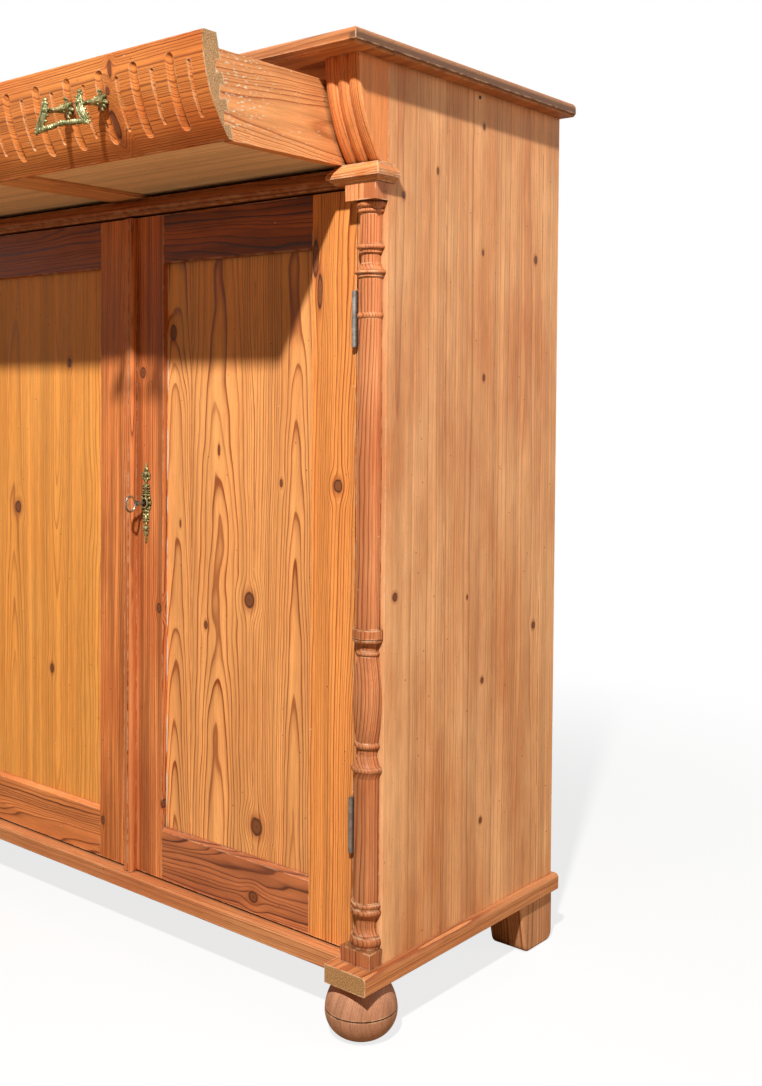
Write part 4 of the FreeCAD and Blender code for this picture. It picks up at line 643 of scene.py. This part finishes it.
dress(darkIron, "lock_bolt", "lock_case", "left_bolt", "left_bolt_plate", "striker_plate", "pull_nuts", "frame_nails")
dress(greySteel, "post_hinge_leaves", "right_hinge_leaves", "left_hinge_leaves", "hinge_pins",
      "post_hinge_screws", "right_hinge_screws", "left_hinge_screws")
# The key's steel is polished by fingers: bright rims, with brown dirt and painted shade in the hollows.
brightSteel = agedMetal("handledSteel", metal="#b9b5aa", skin="#7c766b", skinMetal=0.8, hollow="#3b332b", grain=2.5,
                        roughness=(0.22, 0.45))
dress(brightSteel, "key")
print("metal dressed")


# Castings are heaps of lumps, in mm about a middle, fused into one skin.
castingLook = {"rounds": 2, "spacing": 0.6, "easing": 0.5}    # of a ball, of lumps in a rib in radii, of the skin
ball = bmesh.new()
bmesh.ops.create_icosphere(ball, subdivisions=castingLook["rounds"], radius=1.0)
ballVerts = [vert.co.copy() for vert in ball.verts]
ballFaces = [[vert.index for vert in face.verts] for face in ball.faces]
ball.free()


def newCasting():
    return {"verts": [], "faces": []}


def addLump(casting, centre, radii, turn=0.0):
    if not isinstance(radii, tuple):
        radii = (radii, radii, radii)
    place = Matrix.Translation(centre) @ Matrix.Rotation(math.radians(turn), 4, "Y") @ Matrix.Diagonal((*radii, 1.0))
    first = len(casting["verts"])
    casting["verts"] += [place @ vert for vert in ballVerts]
    casting["faces"] += [[first + index for index in face] for face in ballFaces]


def addStrand(casting, stops):
    # a tapering rib through the stops, each with a place and a radius
    for (startX, startY, startZ, startRadius), (endX, endY, endZ, endRadius) in zip(stops, stops[1:]):
        span = math.dist((startX, startY, startZ), (endX, endY, endZ))
        steps = max(2, math.ceil(span / (castingLook["spacing"] * min(startRadius, endRadius))))
        for step in range(steps + 1):
            t = step / steps
            radius = startRadius + (endRadius - startRadius) * t
            centre = (startX + (endX - startX) * t, startY + (endY - startY) * t, startZ + (endZ - startZ) * t)
            addLump(casting, centre, radius)


def castPiece(name, casting, middle, finish, body, voxelMm, *replaced):
    data = bpy.data.meshes.new(name)
    data.from_pydata([vert / 1000 for vert in casting["verts"]], [], casting["faces"])
    data.materials.append(finish)
    piece = newObject(name, data)
    piece.location = middle
    fused = piece.modifiers.new("fused", "REMESH")
    fused.mode = "VOXEL"
    fused.voxel_size = voxelMm / 1000
    fused.use_smooth_shade = True
    eased = piece.modifiers.new("eased", "SMOOTH")
    eased.factor = castingLook["easing"]
    eased.iterations = 1
    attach(piece, body)
    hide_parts(*replaced)
    return piece


# Drawer pulls, in mm about the pivot of each bail
pullLook = {
    "spacing": 68.0,      # between the two posts
    "eyeRadius": 4.4,     # the bail's eyes reach this far behind the pivot
    "armTop": 15.8,       # the bail's finials stand this high over the pivot
    "reach": 30.0,        # from the drawer's face to the pivot
    "lean": 16.65,        # how far the posts lean down with the curved face, degrees
    "studLength": 31.7,
    "studRadius": 2.2,
    "cornerOut": 15.5,    # the bail's lower corners, out from each post and down
    "cornerDown": 24.6,
    "gripDown": 20.2,     # the middle of the grip, which rises between the corners
    "gripRadius": 2.5,
    "beadLength": 2.6,
    "eyeAcross": 6.0,     # each eye, to the side of its post
    "eyeStops": [(-6.2, 1.8), (-3.4, 1.6)],     # out and radius
    "voxel": 0.36,
}
# One arm of a bail: strands of a long leaf, each stop across from the post, out, up and thick
armY = -6.4
armStrands = [
    [(0, armY, 8.6, 2.4), (0.4, armY, 3.0, 3.2), (1.6, armY, -5.0, 3.9), (6.0, armY, -14.0, 3.7),
        (12.0, armY, -20.5, 2.9), (16.6, armY, -24.6, 2.3)],
    [(3.6, -7.4, 9.0, 1.2), (6.0, -8.0, 1.0, 1.4), (8.2, -8.4, -7.0, 1.4), (12.2, -8.2, -14.5, 1.3),
        (17.6, -7.8, -21.5, 1.2)],
    [(-4.2, -7.2, 5.5, 1.2), (-4.4, -8.0, -3.0, 1.3), (-1.6, -8.2, -10.5, 1.3), (3.6, -7.8, -18.4, 1.2),
        (11.0, -7.4, -25.0, 1.1)],
    [(1.0, -9.6, -4.0, 0.9), (3.4, -9.8, -10.0, 1.0), (8.2, -9.2, -16.5, 0.9)],
]
armLumps = [
    (0, armY, 12.6, 3.0), (0.2, armY, 8.2, 3.0), (4.8, armY - 0.6, 9.6, 2.0), (-4.4, armY - 0.6, 7.0, 2.0),
    (0, -7.8, 0, 4.3), (-6.6, armY, 0.5, 1.9), (8.8, armY, -2.5, 1.8), (11.6, armY, -9.6, 1.9),
    (16.0, armY, -15.6, 1.8), (20.4, armY, -20.6, 1.8), (-4.8, armY, -7.5, 1.8), (-1.4, armY, -14.0, 2.0),
    (3.2, armY, -20.8, 2.2), (2.2, -7.2, -23.4, 1.5), (20.6, armY, -25.4, 1.8), (15.4, armY - 1.2, -26.4, 2.1),
    (18.4, armY, -27.6, 1.6), (7.1, -7.4, -7.6, 1.1), (5.5, -6.8, -18.3, 1.1), (12.2, -6.8, -16.4, 1.1),
    (-19.2, -5.2, -23.7, 0.8),
]
# Half of the grip, from a corner to the middle: share of the way, radius
gripBeads = [
    (0.07, 3.6), (0.12, 4.0), (0.19, 2.8), (0.26, 3.6), (0.32, 3.8), (0.38, 3.4), (0.44, 2.7), (0.66, 2.7),
    (0.72, 3.4), (0.9, 3.6), (1.0, 4.2),
]
gripTwist = {"from": 0.48, "to": 0.64, "turns": 3, "radius": (4.3, 3.7, 2.2), "lean": 32}
for bailName, body in (("bail_right", "bail_right_body"), ("bail_left", "bail_left_body")):
    low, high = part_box(bailName)
    pivot = Vector(((low[0] + high[0]) / 2, high[1] - pullLook["eyeRadius"] / 1000,
                    high[2] - pullLook["armTop"] / 1000))
    casting = newCasting()
    half = pullLook["spacing"] / 2
    for side in (-1, 1):
        for strand in armStrands:
            addStrand(casting, [(side * (half + x), y, z, r) for x, y, z, r in strand])
        for x, y, z, radius in armLumps:
            addLump(casting, (side * (half + x), y, z), radius)
        for eyeSide in (-1, 1):
            eyeX = side * half + eyeSide * pullLook["eyeAcross"]
            addStrand(casting, [(eyeX, out, 0, radius) for out, radius in pullLook["eyeStops"]])
        corner = (half + pullLook["cornerOut"], armY, -pullLook["cornerDown"])
        centre = (0.0, armY, -pullLook["gripDown"])
        addStrand(casting, [(side * x, y, z, pullLook["gripRadius"]) for x, y, z in (corner, centre)])
        for share, radius in gripBeads:
            x, y, z = (a + (b - a) * share for a, b in zip(corner, centre))
            addLump(casting, (side * x, y, z), (min(radius, pullLook["beadLength"]), radius, radius))
        for turnIndex in range(gripTwist["turns"]):
            share = gripTwist["from"] + (gripTwist["to"] - gripTwist["from"]) * turnIndex / (gripTwist["turns"] - 1)
            x, y, z = (a + (b - a) * share for a, b in zip(corner, centre))
            length, across, thick = gripTwist["radius"]
            addLump(casting, (side * x, y, z), (thick, across, length), side * gripTwist["lean"])
    castPiece(bailName + "_casting", casting, pivot, agedBrass, body, pullLook["voxel"], bailName)
print("bails cast")

# One post with its leafy rosette, in mm about the pivot, along the post: y 30 is the drawer's face
faceY = pullLook["reach"]
petals = [
    (90, 8.6, 3.4), (35, 7.2, 3.2), (-20, 7.6, 3.4), (-65, 6.6, 3.0), (-115, 6.6, 3.0), (-160, 7.6, 3.4),
    (145, 7.2, 3.2),
]
postStrands = [
    [(0, 0, 0, 3.2), (0, 5.0, 0, 3.2), (0, 10.0, 0, 3.4), (0, 14.0, 0, 4.4), (0, 21.0, 0, 5.2), (0, 25.0, 0, 5.0)],
    [(0, faceY - 1.4, 6.0, 2.2), (0, faceY - 2.2, 9.5, 1.4), (0, faceY - 2.4, 11.0, 1.2)],
    [(0, faceY - 2.0, -5.0, 2.6), (0, faceY - 4.0, -9.0, 1.9), (1.5, faceY - 5.0, -11.5, 1.3)],
    [(0, faceY, 0, pullLook["studRadius"]), (0, faceY + pullLook["studLength"] - 1.0, 0, pullLook["studRadius"])],
    [(-7.4, 0, 0, 1.5), (7.4, 0, 0, 1.5)],
]
postLumps = [
    (-2.2, faceY - 2.6, 12.0, 1.6), (2.2, faceY - 2.6, 12.0, 1.6), (0, faceY - 2.8, 13.2, 1.4),
    (3.2, faceY - 5.0, -11.8, 1.1),
]
collar = {"y": 18.4, "radius": 4.9, "beads": 8, "bead": 1.4, "ring": (4.4, 1.4, 4.4)}
rosette = {"out": 1.0, "radii": (7.0, 2.6, 7.0), "petalOut": 1.6, "petal": (1.2, 0.6, 0.8), "veinFrom": 2.4,
           "veinTo": 1.1}
casting = newCasting()
lowRight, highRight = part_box("bail_right")
pivotX = (lowRight[0] + highRight[0]) / 2 * 1000
for side in (-1, 1):
    for post in (-1, 1):
        first = len(casting["verts"])
        for strand in postStrands:
            addStrand(casting, strand)
        for x, y, z, radius in postLumps:
            addLump(casting, (x, y, z), radius)
        addLump(casting, (0, faceY - rosette["out"], 0), rosette["radii"])
        addLump(casting, (0, collar["y"], 0), collar["ring"])
        for beadIndex in range(collar["beads"]):
            angle = math.tau * beadIndex / collar["beads"]
            addLump(casting, (collar["radius"] * math.cos(angle), collar["y"], collar["radius"] * math.sin(angle)),
                    collar["bead"])
        for angle, distance, radius in petals:
            x, z = math.cos(math.radians(angle)), math.sin(math.radians(angle))
            petalRadii = tuple(radius * share for share in rosette["petal"])
            addLump(casting, (distance * x, faceY - rosette["petalOut"], distance * z), petalRadii, -angle)
            start, end = rosette["veinFrom"], distance * rosette["veinTo"]
            addStrand(casting, [(start * x, faceY - 3.6, start * z, 1.0), (end * x, faceY - 3.0, end * z, 0.9)])
        aside = side * pivotX + post * pullLook["spacing"] / 2
        place = Matrix.Translation((aside, 0, 0)) @ Matrix.Rotation(math.radians(pullLook["lean"]), 4, "X")
        casting["verts"][first:] = [place @ vert for vert in casting["verts"][first:]]
castPiece("pull_posts_casting", casting, (0.0, pivot[1], pivot[2]), agedBrass, "drawer", pullLook["voxel"],
          "pull_posts")
print("pull posts cast")

# Escutcheon: a thin plate with scrolled leaves, in mm about the middle of its back
escutcheonLook = {
    "voxel": 0.34,
    "outShare": 0.6,        # a lump's middle stands this share of its depth proud of the door
    "backbones": [(0.03, 0.45), (0.55, 0.97)],      # broken at the keyhole
    "backboneOut": 0.9,
    "backboneRadius": 1.5,
    # share of the height, reach to each side
    "ribs": [(0.44, 7.0), (0.35, 4.6), (0.31, 5.4), (0.275, 4.6), (0.195, 4.6), (0.60, 5.0), (0.655, 6.0),
             (0.69, 6.6), (0.725, 5.4), (0.81, 7.2), (0.87, 4.4)],
    "ribOut": 0.8,
    "ribRadius": 1.0,
    "brace": [(5.4, 0.31), (7.4, 0.44)],       # across, share of the height
}
# Half of it: share of the height, how far across, how far out, half its size across and tall
escutcheonLumps = [
    (0.99, 0, 1.4, 1.2, 1.4), (0.965, 0, 1.8, 2.0, 1.8), (0.93, 0, 2.0, 3.8, 2.6), (0.915, 2.6, 1.6, 1.8, 1.4),
    (0.87, 4.4, 2.2, 2.6, 3.4), (0.845, 7.2, 1.8, 2.2, 3.6), (0.81, 7.4, 1.4, 1.8, 1.8),
    (0.85, 0, 2.6, 2.6, 5.0), (0.80, 3.4, 2.0, 2.0, 2.6), (0.765, 0, 1.8, 2.6, 4.4),
    (0.725, 5.4, 1.8, 2.4, 1.3), (0.69, 6.6, 1.8, 2.4, 1.3), (0.655, 6.0, 1.8, 2.6, 1.3),
    (0.70, 0, 2.6, 4.0, 4.0), (0.63, 0, 1.8, 9.4, 1.5), (0.60, 4.8, 2.0, 5.0, 1.6), (0.56, 8.8, 2.2, 2.2, 3.0),
    (0.50, 9.8, 2.4, 2.6, 3.4), (0.44, 8.4, 2.0, 2.2, 3.2), (0.555, 6.4, 2.6, 1.6, 1.8),
    (0.43, 5.8, 2.6, 1.8, 1.6), (0.395, 4.4, 2.0, 3.0, 2.0), (0.40, 0, 2.4, 3.4, 3.0),
    (0.35, 4.2, 2.0, 2.2, 3.0), (0.31, 5.4, 1.6, 1.6, 1.6), (0.275, 4.6, 1.8, 1.9, 2.2),
    (0.30, 0, 2.4, 2.8, 6.0), (0.235, 0, 1.6, 2.4, 3.8), (0.195, 4.6, 1.8, 2.2, 3.0),
    (0.165, 5.4, 1.4, 1.5, 1.6), (0.18, 0, 2.2, 3.0, 4.0), (0.12, 2.6, 1.6, 2.2, 2.8), (0.11, 0, 2.0, 2.4, 4.6),
    (0.06, 0, 1.6, 2.2, 3.6), (0.02, 0, 1.4, 2.0, 2.4),
]
low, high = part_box("escutcheon")
tall = (high[2] - low[2]) * 1000
casting = newCasting()
for share, across, out, halfWide, halfTall in escutcheonLumps:
    for side in ((1,) if across == 0 else (-1, 1)):
        addLump(casting, (side * across, -out * escutcheonLook["outShare"], (share - 0.5) * tall),
                (halfWide, out, halfTall))
# a backbone holds the leaves together, and ribs run out to the scrolls
for shares in escutcheonLook["backbones"]:
    addStrand(casting, [(0, -escutcheonLook["backboneOut"], (share - 0.5) * tall, escutcheonLook["backboneRadius"])
                        for share in shares])
ribOut, ribRadius = escutcheonLook["ribOut"], escutcheonLook["ribRadius"]
for share, reach in escutcheonLook["ribs"]:
    addStrand(casting, [(x, -ribOut, (share - 0.5) * tall, ribRadius) for x in (-reach, reach)])
for side in (-1, 1):
    addStrand(casting, [(side * across, -ribOut, (share - 0.5) * tall, ribRadius)
                        for across, share in escutcheonLook["brace"]])
keyRim = {"radius": 6.2, "out": 3.2, "thick": 1.5, "depth": 2.6, "oval": 1.15, "beads": 28}
for beadIndex in range(keyRim["beads"]):
    angle = math.tau * beadIndex / keyRim["beads"]
    x, z = keyRim["radius"] * math.cos(angle), keyRim["radius"] * math.sin(angle) * keyRim["oval"]
    addLump(casting, (x, -keyRim["out"], z), (keyRim["thick"], keyRim["depth"], keyRim["thick"]))
middle = ((low[0] + high[0]) / 2, high[1], (low[2] + high[2]) / 2)
castPiece("escutcheon_casting", casting, middle, oldBrass, "right_door", escutcheonLook["voxel"], "escutcheon")
print("escutcheon cast")

# rounded arrises, as a century of hands leaves them
softEdges = {"wide": 0.0012, "narrow": 0.0006, "sharpFrom": 40, "segments": 2,
             "fineNodes": ("drawer_front", "capitals")}
for nodeName in list(doorLooks) + list(carcassLooks) + list(drawerLooks):
    bevel = nodes[nodeName].modifiers.new("softArris", "BEVEL")
    bevel.width = softEdges["narrow"] if nodeName in softEdges["fineNodes"] else softEdges["wide"]
    bevel.segments = softEdges["segments"]
    bevel.limit_method = "ANGLE"
    bevel.angle_limit = math.radians(softEdges["sharpFrom"])
print("edges softened")

# Plain pale floor. The camera sees it nearly white, and it keeps the cabinet's shadow.
floorLook = {"halfSide": 6.0, "colour": "#f4f2ee", "bounce": "#a89274", "lift": (0.8, 1.0), "liftFrom": (0.7, 2.2)}
reach = floorLook["halfSide"]
corners = [(-reach, -reach, 0), (reach, -reach, 0), (reach, reach, 0), (-reach, reach, 0)]
floorData = bpy.data.meshes.new("studioFloor")
floorData.from_pydata(corners, [], [(0, 1, 2, 3)])
studioFloor = newObject("studioFloor", floorData)

floorFinish, addFloor = newFinish("paintedFloor")
rays = addFloor("LightPath")
floorCoords = addFloor("TexCoord")
middle = addFloor("VectorMath LENGTH", {0: floorCoords.outputs["Object"]}).outputs["Value"]
fade = addFloor("MapRange", {"Value": middle, "From": floorLook["liftFrom"], "To": floorLook["lift"]},
                interpolation_type="SMOOTHSTEP")
seen = addFloor("Math MULTIPLY", {0: fade, 1: rays.outputs["Is Camera Ray"]})
floorTone = addFloor("Mix RGBA", {0: rays.outputs["Is Camera Ray"], 6: floorLook["bounce"], 7: floorLook["colour"]})
paint = addFloor("BsdfDiffuse", {"Color": floorTone.outputs[2]})
glow = addFloor("Emission", {"Color": (1.0, 1.0, 1.0, 1.0), "Strength": 1.0})
blended = addFloor("MixShader", {0: seen, 1: paint, 2: glow})
addFloor("OutputMaterial", {"Surface": blended})
studioFloor.data.materials.append(floorFinish)

# World: soft even light, white to the eye and in reflections
worldLook = {"light": (0.012, 1.0), "tint": "#ffdcb8"}
world = bpy.data.worlds.new("studioWorld")
bpy.context.scene.world = world
world.use_nodes = True
world.node_tree.nodes.clear()
addWorld = partial(addNode, world.node_tree)
worldRays = addWorld("LightPath")
direct = addWorld("Math MAXIMUM", {0: worldRays.outputs["Is Camera Ray"], 1: worldRays.outputs["Is Glossy Ray"]})
direct = addWorld("Math MAXIMUM", {0: direct, 1: worldRays.outputs["Is Transmission Ray"]})
level = addWorld("MapRange", {"Value": direct, "To": worldLook["light"]})
skyTone = addWorld("Mix RGBA", {0: direct, 6: worldLook["tint"], 7: (1.0, 1.0, 1.0, 1.0)})
sky = addWorld("Background", {"Color": skyTone.outputs[2], "Strength": level})
addWorld("OutputWorld", {"Surface": sky})

lampLooks = {
    "key": {"towards": (0.390, -0.595, 0.702), "distance": 4.4, "size": 0.2, "watts": 292.0},
    "rightFill": {"towards": (0.9, 0.4, 0.2), "distance": 3.2, "size": 2.0, "watts": 21.0},
}
lampAim = Vector((0.2, -0.1, 0.75))
for lampName, look in lampLooks.items():
    lampData = bpy.data.lights.new(lampName, "AREA")
    lampData.shape = "DISK"
    lampData.size = look["size"]
    lampData.energy = look["watts"]
    lamp = newObject(lampName, lampData)
    lamp.location = lampAim + Vector(look["towards"]).normalized() * look["distance"]
    lamp.rotation_euler = (lampAim - lamp.location).to_track_quat("-Z", "Y").to_euler()

cameraLook = {"place": (1.5057, -1.2899, 0.8278), "yaw": 39.44, "pitch": 1.56, "roll": 0.45, "lens": 41.37,
              "shiftY": -0.1023}
yaw, pitch, roll = (math.radians(cameraLook[key]) for key in ("yaw", "pitch", "roll"))
cameraData = bpy.data.cameras.new("photoCamera")
cameraData.lens = cameraLook["lens"]
cameraData.shift_y = cameraLook["shiftY"]
photoCamera = newObject("photoCamera", cameraData)
turn = Matrix.Rotation(yaw, 4, "Z") @ Matrix.Rotation(math.pi / 2 - pitch, 4, "X") @ Matrix.Rotation(roll, 4, "Z")
photoCamera.matrix_world = Matrix.Translation(cameraLook["place"]) @ turn
bpy.context.scene.camera = photoCamera
bpy.context.scene.view_settings.view_transform = "Standard"
print("studio ready")
